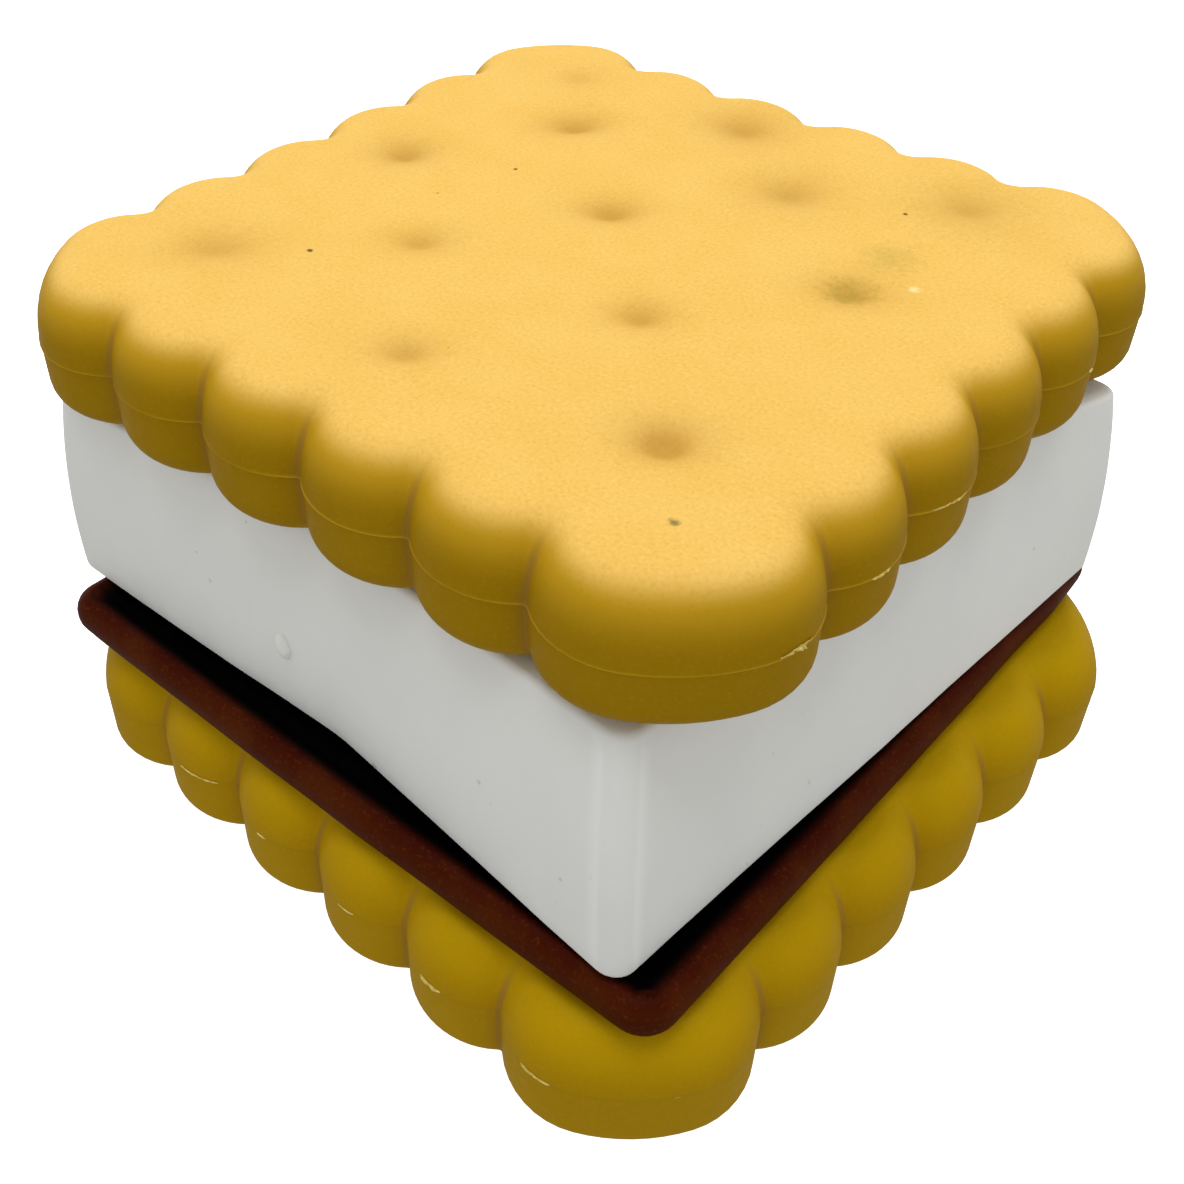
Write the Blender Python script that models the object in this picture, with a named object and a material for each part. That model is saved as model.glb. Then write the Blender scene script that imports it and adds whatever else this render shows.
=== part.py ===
"""Moulded toy s'more: two scalloped square crackers with a marshmallow block
and a chocolate slab stacked between them.

Frame: metres, +Z up, origin under the middle of the stack on the surface it
stands on. The sides of the upper cracker run along X and Y.
"""
from math import atan2, cos, pi, radians, sin, sqrt

import bmesh
import bpy
from mathutils import Matrix, Vector

MM = 0.001
GAP = 0.3 * MM                  # clearance kept between touching pieces

# ---- cracker: a square outline made of circles ----------------------------
# Each side, counter-clockwise from -Y: scallop pitch, slide along the side
# and how much further out its scallops lie. The moulding is slightly uneven.
SIDES = (
    (11.00 * MM, -0.36 * MM, 0.00 * MM),
    (10.83 * MM, -0.14 * MM, 0.21 * MM),
    (10.85 * MM, -0.17 * MM, -0.66 * MM),
    (10.87 * MM, 0.48 * MM, -0.16 * MM),
)
LOBE_RADIUS = 7.82 * MM
LOBE_LINE = 30.08 * MM          # centre of the cracker to the scallops' centres
CORNER_RADIUS = 7.50 * MM       # shoulders of a corner lobe
CORNER_REACH = 40.41 * MM       # centre to the shoulders, along the diagonal
CORNER_HALF = 2.55 * MM         # half the distance between the two shoulders
CORNER_FLAT = 8.57 * MM         # how far back the front arc's centre lies
NOTCH_RADIUS = 0.5 * MM         # root of the notch between two lobes
CRACKER_THICK = 12.4 * MM
FACE_ROUND = 3.96 * MM          # rounding of the dimpled face, across
FACE_DROP = 6.1 * MM            # rounding of the dimpled face, down the side
BACK_ROUND = 3.0 * MM           # rounding of the face against the filling
LOBE_STEPS = 5
CORNER_STEPS = 3
FRONT_STEPS = 4
NOTCH_STEPS = 2
ROUND_STEPS = 4

# ---- dimples in a cracker's face: rows of three and two, staggered --------
DIMPLE_BALL = 5.5 * MM          # radius of the ball that presses a dimple
DIMPLE_DEPTH = 0.5 * MM
DIMPLE_ROW = 11.4 * MM          # row to row, along X
DIMPLE_STEP = 25.0 * MM         # dimple to dimple in a row, along Y
DIMPLE_SLIDE = (-1.7 * MM, 2.9 * MM)    # the pattern is off the centre
DIMPLE_STEPS = 12

# ---- marshmallow ----------------------------------------------------------
MALLOW_HALF_X = 34.2 * MM
MALLOW_HALF_Y = 34.5 * MM
MALLOW_HEIGHT = 20.2 * MM
MALLOW_CORNER = 2.2 * MM        # upright edges
MALLOW_RIM = 1.0 * MM           # lower rim
MALLOW_SWELL = 0.5 * MM         # the sides belly out at mid height
MALLOW_FLARE = 1.2 * MM         # the foot is wider than the head by this
MALLOW_BOW = 2.8 * MM           # the foot of the -Y side is drawn in
MALLOW_CENTRE = (2.6 * MM, -4.0 * MM)
MALLOW_TURN = radians(-5.0)
MALLOW_RINGS = 6

# ---- chocolate ------------------------------------------------------------
SLAB_HALF_X = 35.3 * MM
SLAB_HALF_Y = 36.4 * MM
SLAB_THICK = 4.0 * MM
SLAB_CORNER = 3.0 * MM
SLAB_ROUND = 1.4 * MM
SLAB_CENTRE = (3.7 * MM, -4.4 * MM)
SLAB_TURN = radians(-1.5)

# ---- lower cracker, a trace larger and turned -----------------------------
LOWER_SCALE = 1.02
LOWER_CENTRE = (5.6 * MM, -4.9 * MM)
LOWER_TURN = radians(-4.15)

# ---- levels of the stack, from the floor up -------------------------------
SLAB_Z = CRACKER_THICK
MALLOW_Z = SLAB_Z + SLAB_THICK
UPPER_Z = MALLOW_Z + MALLOW_HEIGHT


def clear_scene():
    for obj in list(bpy.data.objects):
        bpy.data.objects.remove(obj, do_unlink=True)
    for mesh in list(bpy.data.meshes):
        bpy.data.meshes.remove(mesh)


def collection(name):
    group = bpy.data.collections.new(name)
    bpy.context.scene.collection.children.link(group)
    return group


def material(name, colour, roughness, specular):
    mat = bpy.data.materials.new(name)
    mat.use_nodes = True
    shader = mat.node_tree.nodes["Principled BSDF"]
    shader.inputs["Base Color"].default_value = (*colour, 1.0)
    shader.inputs["Roughness"].default_value = roughness
    shader.inputs["Metallic"].default_value = 0.0
    shader.inputs["Specular IOR Level"].default_value = specular
    mat.diffuse_color = (*colour, 1.0)
    return mat


def angle_to(origin, point):
    return atan2(point.y - origin.y, point.x - origin.x)


def arc(centre, radius, start, end, steps):
    """Points from start to end on a circle, without the last one."""
    return [centre + Vector((cos(a), sin(a))) * radius
            for a in (start + (end - start) * i / steps for i in range(steps))]


def outside_centre(c1, r1, c2, r2):
    """Where a circle lies that is r1 from c1 and r2 from c2, to the right."""
    span = (c2 - c1).length
    along = (r1 * r1 - r2 * r2 + span * span) / (2 * span)
    across = sqrt(r1 * r1 - along * along)
    u = (c2 - c1) / span
    return c1 + u * along + Vector((u.y, -u.x)) * across


def unwrap(start, end, sign):
    while sign * (end - start) < 0:
        end += sign * 2 * pi
    while sign * (end - start) > 2 * pi:
        end -= sign * 2 * pi
    return end


def lobes():
    """The circles round a cracker, counter-clockwise from the -Y side."""
    circles = []
    for side, (pitch, slide, further) in enumerate(SIDES):
        turn = Matrix.Rotation(side * pi / 2, 2)
        for i in range(4):
            spot = turn @ Vector((slide + (i - 1.5) * pitch,
                                  -LOBE_LINE - further))
            circles.append((spot, LOBE_RADIUS, "scallop", None))
        out = turn @ Vector((1, -1)).normalized()
        across = Vector((-out.y, out.x))
        front = out * (CORNER_REACH - CORNER_FLAT)
        for sign in (-1, 1):
            spot = out * CORNER_REACH + across * CORNER_HALF * sign
            circles.append((spot, CORNER_RADIUS, "shoulder", front))
    return circles


def cracker_outline():
    """The scalloped square: lobes joined by small hollow roots."""
    circles = lobes()
    count = len(circles)
    joins = []
    for i in range(count):
        a, b = circles[i], circles[(i + 1) % count]
        if a[2] == b[2] == "shoulder":
            reach = a[1] + (a[0] - a[3]).length
            joins.append(("front", a[3], reach,
                          angle_to(a[3], a[0]), angle_to(a[3], b[0])))
        else:
            root = outside_centre(a[0], a[1] + NOTCH_RADIUS,
                                  b[0], b[1] + NOTCH_RADIUS)
            joins.append(("notch", root, NOTCH_RADIUS,
                          angle_to(root, a[0]), angle_to(root, b[0])))
    points = []
    for i, (centre, radius, kind, _) in enumerate(circles):
        before, after = joins[i - 1], joins[i]
        start = angle_to(centre, before[1]) if before[0] == "notch" else before[4]
        end = angle_to(centre, after[1]) if after[0] == "notch" else after[3]
        steps = LOBE_STEPS if kind == "scallop" else CORNER_STEPS
        points += arc(centre, radius, start, unwrap(start, end, 1), steps)
        sign = -1 if after[0] == "notch" else 1
        steps = NOTCH_STEPS if after[0] == "notch" else FRONT_STEPS
        points += arc(after[1], after[2], after[3],
                      unwrap(after[3], after[4], sign), steps)
    return points


def bevel(bm, edges, width, steps):
    bmesh.ops.bevel(bm, geom=edges, offset=width, offset_type="OFFSET",
                    segments=steps, profile=0.5, affect="EDGES",
                    clamp_overlap=False, material=-1)


def flat_edges(bm, z):
    return [e for e in bm.edges
            if all(abs(v.co.z - z) < 1e-6 for v in e.verts)]


def finish(bm, name, group, mat):
    bmesh.ops.recalc_face_normals(bm, faces=bm.faces)
    mesh = bpy.data.meshes.new(name)
    bm.to_mesh(mesh)
    bm.free()
    mesh.shade_smooth()
    mesh.set_sharp_from_angle(angle=radians(40))
    mesh.materials.append(mat)
    obj = bpy.data.objects.new(name, mesh)
    group.objects.link(obj)
    return obj


def make_cracker(name, group, mat, scale=1.0):
    """One cracker standing on z = 0, its dimpled face up."""
    bm = bmesh.new()
    face = bm.faces.new([bm.verts.new((p.x * scale, p.y * scale, 0.0))
                         for p in cracker_outline()])
    made = bmesh.ops.extrude_face_region(bm, geom=[face])
    top = [g for g in made["geom"] if isinstance(g, bmesh.types.BMVert)]
    bmesh.ops.translate(bm, verts=top, vec=(0, 0, CRACKER_THICK))
    bevel(bm, flat_edges(bm, CRACKER_THICK), FACE_ROUND, ROUND_STEPS)
    bevel(bm, flat_edges(bm, 0.0), BACK_ROUND, ROUND_STEPS)
    # the dimpled face rolls down the side further than it reaches in
    start = CRACKER_THICK - FACE_ROUND - 1e-6
    for v in bm.verts:
        if v.co.z > start:
            depth = (CRACKER_THICK - v.co.z) * FACE_DROP / FACE_ROUND
            v.co.z = CRACKER_THICK - depth
    return finish(bm, name, group, mat)


def dimple_spots():
    """Five rows of dimples, three and two in turn."""
    spots = []
    for row in range(-2, 3):
        count = 3 if row % 2 == 0 else 2
        for i in range(count):
            spots.append((DIMPLE_SLIDE[0] + row * DIMPLE_ROW,
                          DIMPLE_SLIDE[1] + (i - (count - 1) / 2) * DIMPLE_STEP))
    return spots


def make_presses(name, group):
    """The balls that press the dimples, as one cutting body."""
    bm = bmesh.new()
    level = CRACKER_THICK + DIMPLE_BALL - DIMPLE_DEPTH
    for x, y in dimple_spots():
        bmesh.ops.create_uvsphere(bm, u_segments=DIMPLE_STEPS,
                                  v_segments=DIMPLE_STEPS + 6,
                                  radius=DIMPLE_BALL,
                                  matrix=Matrix.Translation((x, y, level)))
    mesh = bpy.data.meshes.new(name)
    bm.to_mesh(mesh)
    bm.free()
    obj = bpy.data.objects.new(name, mesh)
    obj.hide_render = True
    obj.display_type = "WIRE"
    group.objects.link(obj)
    return obj


def press_dimples(obj, presses):
    cut = obj.modifiers.new("dimples", "BOOLEAN")
    cut.operation = "DIFFERENCE"
    cut.solver = "EXACT"
    cut.object = presses


def make_block(half_x, half_y, height, corner, rim_low, rim_high, rings=0):
    """A box on z = 0 with rounded upright edges and rounded rims."""
    bm = bmesh.new()
    bmesh.ops.create_cube(bm, size=1.0)
    bmesh.ops.scale(bm, verts=bm.verts, vec=(2 * half_x, 2 * half_y, height))
    bmesh.ops.translate(bm, verts=bm.verts, vec=(0, 0, height / 2))
    upright = [e for e in bm.edges
               if abs(e.verts[0].co.z - e.verts[1].co.z) > height / 2]
    bevel(bm, upright, corner, 4)
    for z, width in ((0.0, rim_low), (height, rim_high)):
        if width:
            bevel(bm, flat_edges(bm, z), width, 3)
    for i in range(1, rings + 1):
        cut_z = rim_low + (height - rim_low - rim_high) * i / (rings + 1)
        bmesh.ops.bisect_plane(bm, geom=bm.verts[:] + bm.edges[:] + bm.faces[:],
                               plane_co=(0, 0, cut_z), plane_no=(0, 0, 1))
    if rings:
        for axis, half in ((0, half_x), (1, half_y)):
            for i in range(1, 8):
                place, normal = Vector(), Vector()
                place[axis] = half * (i / 4 - 1)
                normal[axis] = 1
                bmesh.ops.bisect_plane(
                    bm, geom=bm.verts[:] + bm.edges[:] + bm.faces[:],
                    plane_co=place, plane_no=normal)
    return bm


def make_mallow(group, mat):
    height = MALLOW_HEIGHT - GAP
    bm = make_block(MALLOW_HALF_X, MALLOW_HALF_Y, height, MALLOW_CORNER,
                    MALLOW_RIM, 0.0, MALLOW_RINGS)
    for v in bm.verts:
        x, y = v.co.x / MALLOW_HALF_X, v.co.y / MALLOW_HALF_Y
        t = v.co.z / height
        grow = (MALLOW_SWELL * 4 * t * (1 - t)
                - MALLOW_FLARE * (t - 0.5)) / MALLOW_HALF_X
        v.co.x *= 1 + grow
        v.co.y *= 1 + grow
        if y < 0:
            v.co.y += (MALLOW_BOW * (1 - t) ** 2 * cos(x * pi / 2)
                       * min(1.0, y * y))
    return finish(bm, "marshmallow", group, mat)


def make_slab(group, mat):
    bm = make_block(SLAB_HALF_X, SLAB_HALF_Y, SLAB_THICK - 2 * GAP,
                    SLAB_CORNER, SLAB_ROUND, SLAB_ROUND)
    return finish(bm, "chocolate", group, mat)


def put(obj, centre, z, turn):
    obj.location = (*centre, z)
    obj.rotation_euler = (0.0, 0.0, turn)


def centre_stack(pieces, followers):
    """Slide everything so that the origin is under the middle of the stack."""
    bpy.context.view_layer.update()
    spots = [p.matrix_world @ v.co for p in pieces for v in p.data.vertices]
    for axis in (0, 1):
        values = [spot[axis] for spot in spots]
        middle = (min(values) + max(values)) / 2
        for obj in pieces + followers:
            obj.location[axis] -= middle


def main():
    clear_scene()
    parts = collection("toy_smore")
    tools = collection("cutters")
    biscuit = material("biscuit_rubber", (0.62, 0.40, 0.10), 0.62, 0.35)
    white = material("marshmallow_rubber", (0.70, 0.71, 0.68), 0.60, 0.35)
    brown = material("chocolate_rubber", (0.10, 0.022, 0.010), 0.45, 0.45)

    upper = make_cracker("cracker_top", parts, biscuit)
    upper_presses = make_presses("upper_presses", tools)
    for obj in (upper, upper_presses):
        put(obj, (0.0, 0.0), UPPER_Z, 0.0)
    mallow = make_mallow(parts, white)
    put(mallow, MALLOW_CENTRE, MALLOW_Z, MALLOW_TURN)
    slab = make_slab(parts, brown)
    put(slab, SLAB_CENTRE, SLAB_Z + GAP, SLAB_TURN)
    lower = make_cracker("cracker_bottom", parts, biscuit, LOWER_SCALE)
    lower_presses = make_presses("lower_presses", tools)
    for obj in (lower, lower_presses):
        put(obj, LOWER_CENTRE, 0.0, LOWER_TURN)
    press_dimples(upper, upper_presses)
    press_dimples(lower, lower_presses)
    centre_stack([upper, mallow, slab, lower], [upper_presses, lower_presses])


main()
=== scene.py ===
"""Dressed model of a moulded toy s'more.

Two scalloped square crackers hold a marshmallow block and a chocolate slab.
All four are soft vinyl rubber from two-part moulds, so each cracker keeps a
thin parting line with a few shreds of flash. Metres, +Z up, origin under the
middle of the stack on the surface it stands on.
"""
import logging
from dataclasses import dataclass, field
from enum import Enum
from math import atan2, cos, exp, hypot, pi, radians, sin, sqrt

import bmesh
import bpy
from mathutils import Matrix, Vector, noise


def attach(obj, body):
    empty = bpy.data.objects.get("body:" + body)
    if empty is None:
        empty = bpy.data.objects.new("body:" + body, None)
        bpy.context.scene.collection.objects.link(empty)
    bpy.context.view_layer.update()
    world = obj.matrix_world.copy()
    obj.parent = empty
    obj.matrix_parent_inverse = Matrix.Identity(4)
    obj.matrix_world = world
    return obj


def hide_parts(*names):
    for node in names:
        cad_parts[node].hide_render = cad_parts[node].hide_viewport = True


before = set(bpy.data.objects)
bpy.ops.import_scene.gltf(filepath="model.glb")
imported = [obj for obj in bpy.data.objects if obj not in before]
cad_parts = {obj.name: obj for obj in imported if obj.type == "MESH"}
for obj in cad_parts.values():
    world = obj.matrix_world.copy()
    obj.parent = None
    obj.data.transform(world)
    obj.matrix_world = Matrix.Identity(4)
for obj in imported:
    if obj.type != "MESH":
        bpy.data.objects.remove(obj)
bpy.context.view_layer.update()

MM = 0.001
SAME_LEVEL = 1e-6  # heights closer than this are one height
LOG = logging.getLogger("smore")

Colour = tuple[float, float, float]


class LobeKind(Enum):
    """The two sorts of circle in a cracker's outline."""

    SCALLOP = "scallop"
    SHOULDER = "shoulder"


class JoinKind(Enum):
    """How one circle of the outline passes to the next."""

    NOTCH = "notch"
    FRONT = "front"


# ---------------------------------------------------------------------------
# small mesh tools
# ---------------------------------------------------------------------------

def smooth_step(low: float, high: float, value: float) -> float:
    """Ease from 0 at low to 1 at high.

    Args:
        low: value at which the result is 0.
        high: value at which the result is 1.
        value: the value to ease.

    Returns:
        A number from 0 to 1.
    """
    t = min(1.0, max(0.0, (value - low) / (high - low)))
    return t * t * (3.0 - 2.0 * t)


def bell(distance: float, width: float) -> float:
    """Height of a soft bell of this width at a distance from its middle."""
    return exp(-(distance / width) ** 2)


def rumple(spot: Vector, size: float, seed: float) -> float:
    """Smooth seeded unevenness of a surface.

    Args:
        spot: the point in metres.
        size: rough size of one swell in metres.
        seed: shifts the pattern.

    Returns:
        A number from about -1 to 1.
    """
    return noise.noise(spot / size + Vector((seed, 2.7 * seed, -seed)))


def unevenness(spot: Vector, seed: float, swells: tuple[float, float],
               ripples: tuple[float, float]) -> float:
    """Large swells with small ripples on them.

    Args:
        spot: the point in metres.
        seed: shifts the pattern.
        swells: height and size of the large swells.
        ripples: height and size of the small ones.

    Returns:
        The height in metres.
    """
    return (swells[0] * rumple(spot, swells[1], seed)
            + ripples[0] * rumple(spot, ripples[1], seed + 3.0))


def round_edges(bm: bmesh.types.BMesh, edges: list, width: float,
                steps: int) -> None:
    """Round the given edges.

    Args:
        bm: the mesh.
        edges: the edges to round.
        width: how far the rounding reaches on each side.
        steps: facets across the rounding.
    """
    bmesh.ops.bevel(bm, geom=edges, offset=width, offset_type="OFFSET",
                    segments=steps, profile=0.5, affect="EDGES",
                    clamp_overlap=False, material=-1)


def edges_at(bm: bmesh.types.BMesh, z: float) -> list:
    """All edges that lie flat at height z.

    Args:
        bm: the mesh.
        z: the height in metres.

    Returns:
        The edges.
    """
    return [e for e in bm.edges
            if all(abs(v.co.z - z) < SAME_LEVEL for v in e.verts)]


def even_places(low: float, high: float, pitch: float) -> list[float]:
    """Evenly spaced places strictly between two ends.

    Args:
        low: the lower end.
        high: the upper end.
        pitch: the wished spacing.

    Returns:
        The places.
    """
    count = max(1, round((high - low) / pitch))
    return [low + (high - low) * i / count for i in range(1, count)]


def slice_part(bm: bmesh.types.BMesh, geom: list, axis: int,
               places: list[float]) -> list:
    """Cut part of a mesh by planes across one axis.

    Args:
        bm: the mesh.
        geom: the vertices, edges and faces to cut.
        axis: 0, 1 or 2, the axis that the planes stand across.
        places: where the planes lie along the axis.

    Returns:
        The same part of the mesh after the cuts.
    """
    normal = Vector((0.0, 0.0, 0.0))
    normal[axis] = 1.0
    for place in places:
        made = bmesh.ops.bisect_plane(bm, geom=geom, dist=1e-7,
                                      plane_co=normal * place,
                                      plane_no=normal)
        geom = made["geom"]
    return geom


def whole(bm: bmesh.types.BMesh) -> list:
    """Every vertex, edge and face of a mesh."""
    return bm.verts[:] + bm.edges[:] + bm.faces[:]


def standing(spot: tuple[float, float, float], turn: float) -> Matrix:
    """A place in the frame with a turn about the vertical.

    Args:
        spot: the place.
        turn: the turn, counter-clockwise seen from above.

    Returns:
        The matrix.
    """
    return Matrix.Translation(spot) @ Matrix.Rotation(turn, 4, "Z")


def make_object(bm: bmesh.types.BMesh, name: str, place: Matrix,
                sharp: float = 50.0) -> bpy.types.Object:
    """Put a finished mesh in the scene, its place in its vertices.

    Args:
        bm: the mesh, which is freed.
        name: the piece's name.
        place: where the piece stands.
        sharp: edges steeper than this many degrees stay crisp.

    Returns:
        The new object, at the origin.
    """
    bmesh.ops.transform(bm, matrix=place, verts=bm.verts)
    bmesh.ops.recalc_face_normals(bm, faces=bm.faces)
    mesh = bpy.data.meshes.new(name)
    bm.to_mesh(mesh)
    bm.free()
    mesh.shade_smooth()
    mesh.set_sharp_from_angle(angle=radians(sharp))
    obj = bpy.data.objects.new(name, mesh)
    bpy.context.scene.collection.objects.link(obj)
    return obj


# ---------------------------------------------------------------------------
# finishes
# ---------------------------------------------------------------------------

@dataclass(frozen=True)
class Stain:
    """A small blot of dirt or pigment in the rubber.

    Attributes:
        x: place along X.
        y: place along Y.
        z: place along Z.
        inner: full strength within this distance.
        outer: nothing beyond this distance.
        strength: how much of its colour shows.
        colour: its colour.
    """

    x: float
    y: float
    z: float
    inner: float
    outer: float
    strength: float
    colour: Colour


class Bench:
    """Adds shader nodes to one material and joins them.

    Attributes:
        torn: how far noise moves a blot's edge, in outer distances.
    """

    torn: float = 1.6

    def __init__(self, name: str) -> None:
        """Start an empty material.

        Args:
            name: the material's name.
        """
        self.material = bpy.data.materials.new(name)
        self.material.use_nodes = True
        self.tree = self.material.node_tree
        self.shader = self.tree.nodes["Principled BSDF"]
        coordinates = self.tree.nodes.new("ShaderNodeTexCoord")
        self.place = coordinates.outputs["Object"]

    def _feed(self, socket: bpy.types.NodeSocket, value: object) -> None:
        """Join a socket to another, or set it to a plain value.

        Args:
            socket: the socket to feed.
            value: another socket, a colour or a number.
        """
        if isinstance(value, bpy.types.NodeSocket):
            self.tree.links.new(value, socket)
        elif isinstance(value, tuple) and len(value) == 3 \
                and socket.type == "RGBA":
            socket.default_value = (*value, 1.0)
        else:
            socket.default_value = value

    def sets(self, **values: object) -> None:
        """Set or join the surface shader's sockets by their names.

        Args:
            **values: socket names, with _ for each space, and their values.
        """
        for name, value in values.items():
            self._feed(self.shader.inputs[name.replace("_", " ")], value)

    def stretched(self, x: float, y: float, z: float) -> bpy.types.NodeSocket:
        """Object coordinates scaled along each axis.

        Args:
            x: scale along X.
            y: scale along Y.
            z: scale along Z.

        Returns:
            The scaled coordinates.
        """
        node = self.tree.nodes.new("ShaderNodeMapping")
        self._feed(node.inputs["Vector"], self.place)
        node.inputs["Scale"].default_value = (x, y, z)
        return node.outputs["Vector"]

    def cloud(self, size: float, detail: float = 2.0, rough: float = 0.5,
              place: bpy.types.NodeSocket | None = None
              ) -> bpy.types.NodeSocket:
        """Soft noise.

        Args:
            size: size of one blot in metres.
            detail: how many finer layers it has.
            rough: how strong the finer layers are.
            place: coordinates, or the object's own.

        Returns:
            A value from 0 to 1, about 0.5 on average.
        """
        node = self.tree.nodes.new("ShaderNodeTexNoise")
        self._feed(node.inputs["Vector"], place or self.place)
        node.inputs["Scale"].default_value = 1.0 / size
        node.inputs["Detail"].default_value = detail
        node.inputs["Roughness"].default_value = rough
        return node.outputs["Fac"]

    def span(self, value: bpy.types.NodeSocket, low: float, high: float,
             start: float = 0.0, end: float = 1.0) -> bpy.types.NodeSocket:
        """Ease a value from one range into another.

        Args:
            value: the value.
            low: where the old range starts.
            high: where the old range ends.
            start: the result at low.
            end: the result at high.

        Returns:
            The eased value.
        """
        node = self.tree.nodes.new("ShaderNodeMapRange")
        node.interpolation_type = "SMOOTHSTEP"
        self._feed(node.inputs["Value"], value)
        for name, number in (("From Min", low), ("From Max", high),
                             ("To Min", start), ("To Max", end)):
            node.inputs[name].default_value = number
        return node.outputs["Result"]

    def sum(self, kind: str, a: object, b: object) -> bpy.types.NodeSocket:
        """One step of arithmetic.

        Args:
            kind: the operation, such as MULTIPLY.
            a: first value.
            b: second value.

        Returns:
            The result.
        """
        node = self.tree.nodes.new("ShaderNodeMath")
        node.operation = kind
        self._feed(node.inputs[0], a)
        self._feed(node.inputs[1], b)
        return node.outputs[0]

    def blend(self, amount: object, under: object,
              over: object) -> bpy.types.NodeSocket:
        """Lay one colour over another.

        Args:
            amount: 0 for the lower colour, 1 for the upper one.
            under: the lower colour.
            over: the upper colour.

        Returns:
            The mixed colour.
        """
        node = self.tree.nodes.new("ShaderNodeMix")
        node.data_type = "RGBA"
        self._feed(node.inputs[0], amount)
        self._feed(node.inputs[6], under)
        self._feed(node.inputs[7], over)
        return node.outputs[2]

    def upward(self) -> bpy.types.NodeSocket:
        """How far the surface faces up.

        Returns:
            A value from -1 to 1.
        """
        node = self.tree.nodes.new("ShaderNodeNewGeometry")
        split = self.tree.nodes.new("ShaderNodeSeparateXYZ")
        self._feed(split.inputs[0], node.outputs["Normal"])
        return split.outputs[2]

    def mark(self, name: str) -> bpy.types.NodeSocket:
        """A value kept on the mesh's vertices.

        Args:
            name: the name that it is kept under.

        Returns:
            The value.
        """
        node = self.tree.nodes.new("ShaderNodeAttribute")
        node.attribute_name = name
        return node.outputs["Fac"]

    def spot(self, stain: Stain,
             ragged: bpy.types.NodeSocket) -> bpy.types.NodeSocket:
        """A round blot in space.

        Args:
            stain: its place and its size.
            ragged: noise that eats into its edge.

        Returns:
            Its strength, from 0 to 1.
        """
        node = self.tree.nodes.new("ShaderNodeVectorMath")
        node.operation = "DISTANCE"
        self._feed(node.inputs[0], self.place)
        node.inputs[1].default_value = (stain.x, stain.y, stain.z)
        eaten = self.sum("MULTIPLY", self.sum("SUBTRACT", ragged, 0.5),
                         self.torn * stain.outer)
        away = self.sum("ADD", node.outputs["Value"], eaten)
        return self.span(away, stain.inner, stain.outer, 1.0, 0.0)

    def lay_noise(self, colour: object, grain: bpy.types.NodeSocket,
                  low: float, high: float, most: float,
                  over: object) -> bpy.types.NodeSocket:
        """Lay a colour over another where a noise is strong.

        Args:
            colour: the lower colour.
            grain: the noise.
            low: the lower colour stays clean up to this.
            high: the upper colour shows most from here on.
            most: how much of the upper colour shows there.
            over: the upper colour.

        Returns:
            The mixed colour.
        """
        return self.blend(self.span(grain, low, high, 0.0, most), colour,
                          over)

    def lay_mark(self, colour: object, name: str, most: float,
                 over: Colour) -> bpy.types.NodeSocket:
        """Lay a colour over another where the mesh is marked.

        Args:
            colour: the lower colour.
            name: the mark.
            most: how much of the upper colour shows where it is 1.
            over: the upper colour.

        Returns:
            The mixed colour.
        """
        return self.blend(self.sum("MULTIPLY", self.mark(name), most),
                          colour, over)

    def lay_stains(self, colour: object, stains: tuple[Stain, ...],
                   ragged: bpy.types.NodeSocket) -> bpy.types.NodeSocket:
        """Lay small blots over a colour.

        Args:
            colour: the lower colour.
            stains: the blots.
            ragged: noise that eats into their edges.

        Returns:
            The mixed colour.
        """
        for stain in stains:
            mask = self.sum("MULTIPLY", self.spot(stain, ragged),
                            stain.strength)
            colour = self.blend(mask, colour, stain.colour)
        return colour

    def bump(self, height: bpy.types.NodeSocket, depth: float,
             strength: float = 1.0,
             under: bpy.types.NodeSocket | None = None
             ) -> bpy.types.NodeSocket:
        """Fine relief for the surface.

        Args:
            height: the relief, 0 to 1.
            depth: how deep it is in metres.
            strength: how much of it shows.
            under: coarser relief that it lies on.

        Returns:
            The bent normal.
        """
        node = self.tree.nodes.new("ShaderNodeBump")
        node.inputs["Strength"].default_value = strength
        node.inputs["Distance"].default_value = depth
        self._feed(node.inputs["Height"], height)
        if under is not None:
            self._feed(node.inputs["Normal"], under)
        return node.outputs["Normal"]


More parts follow.
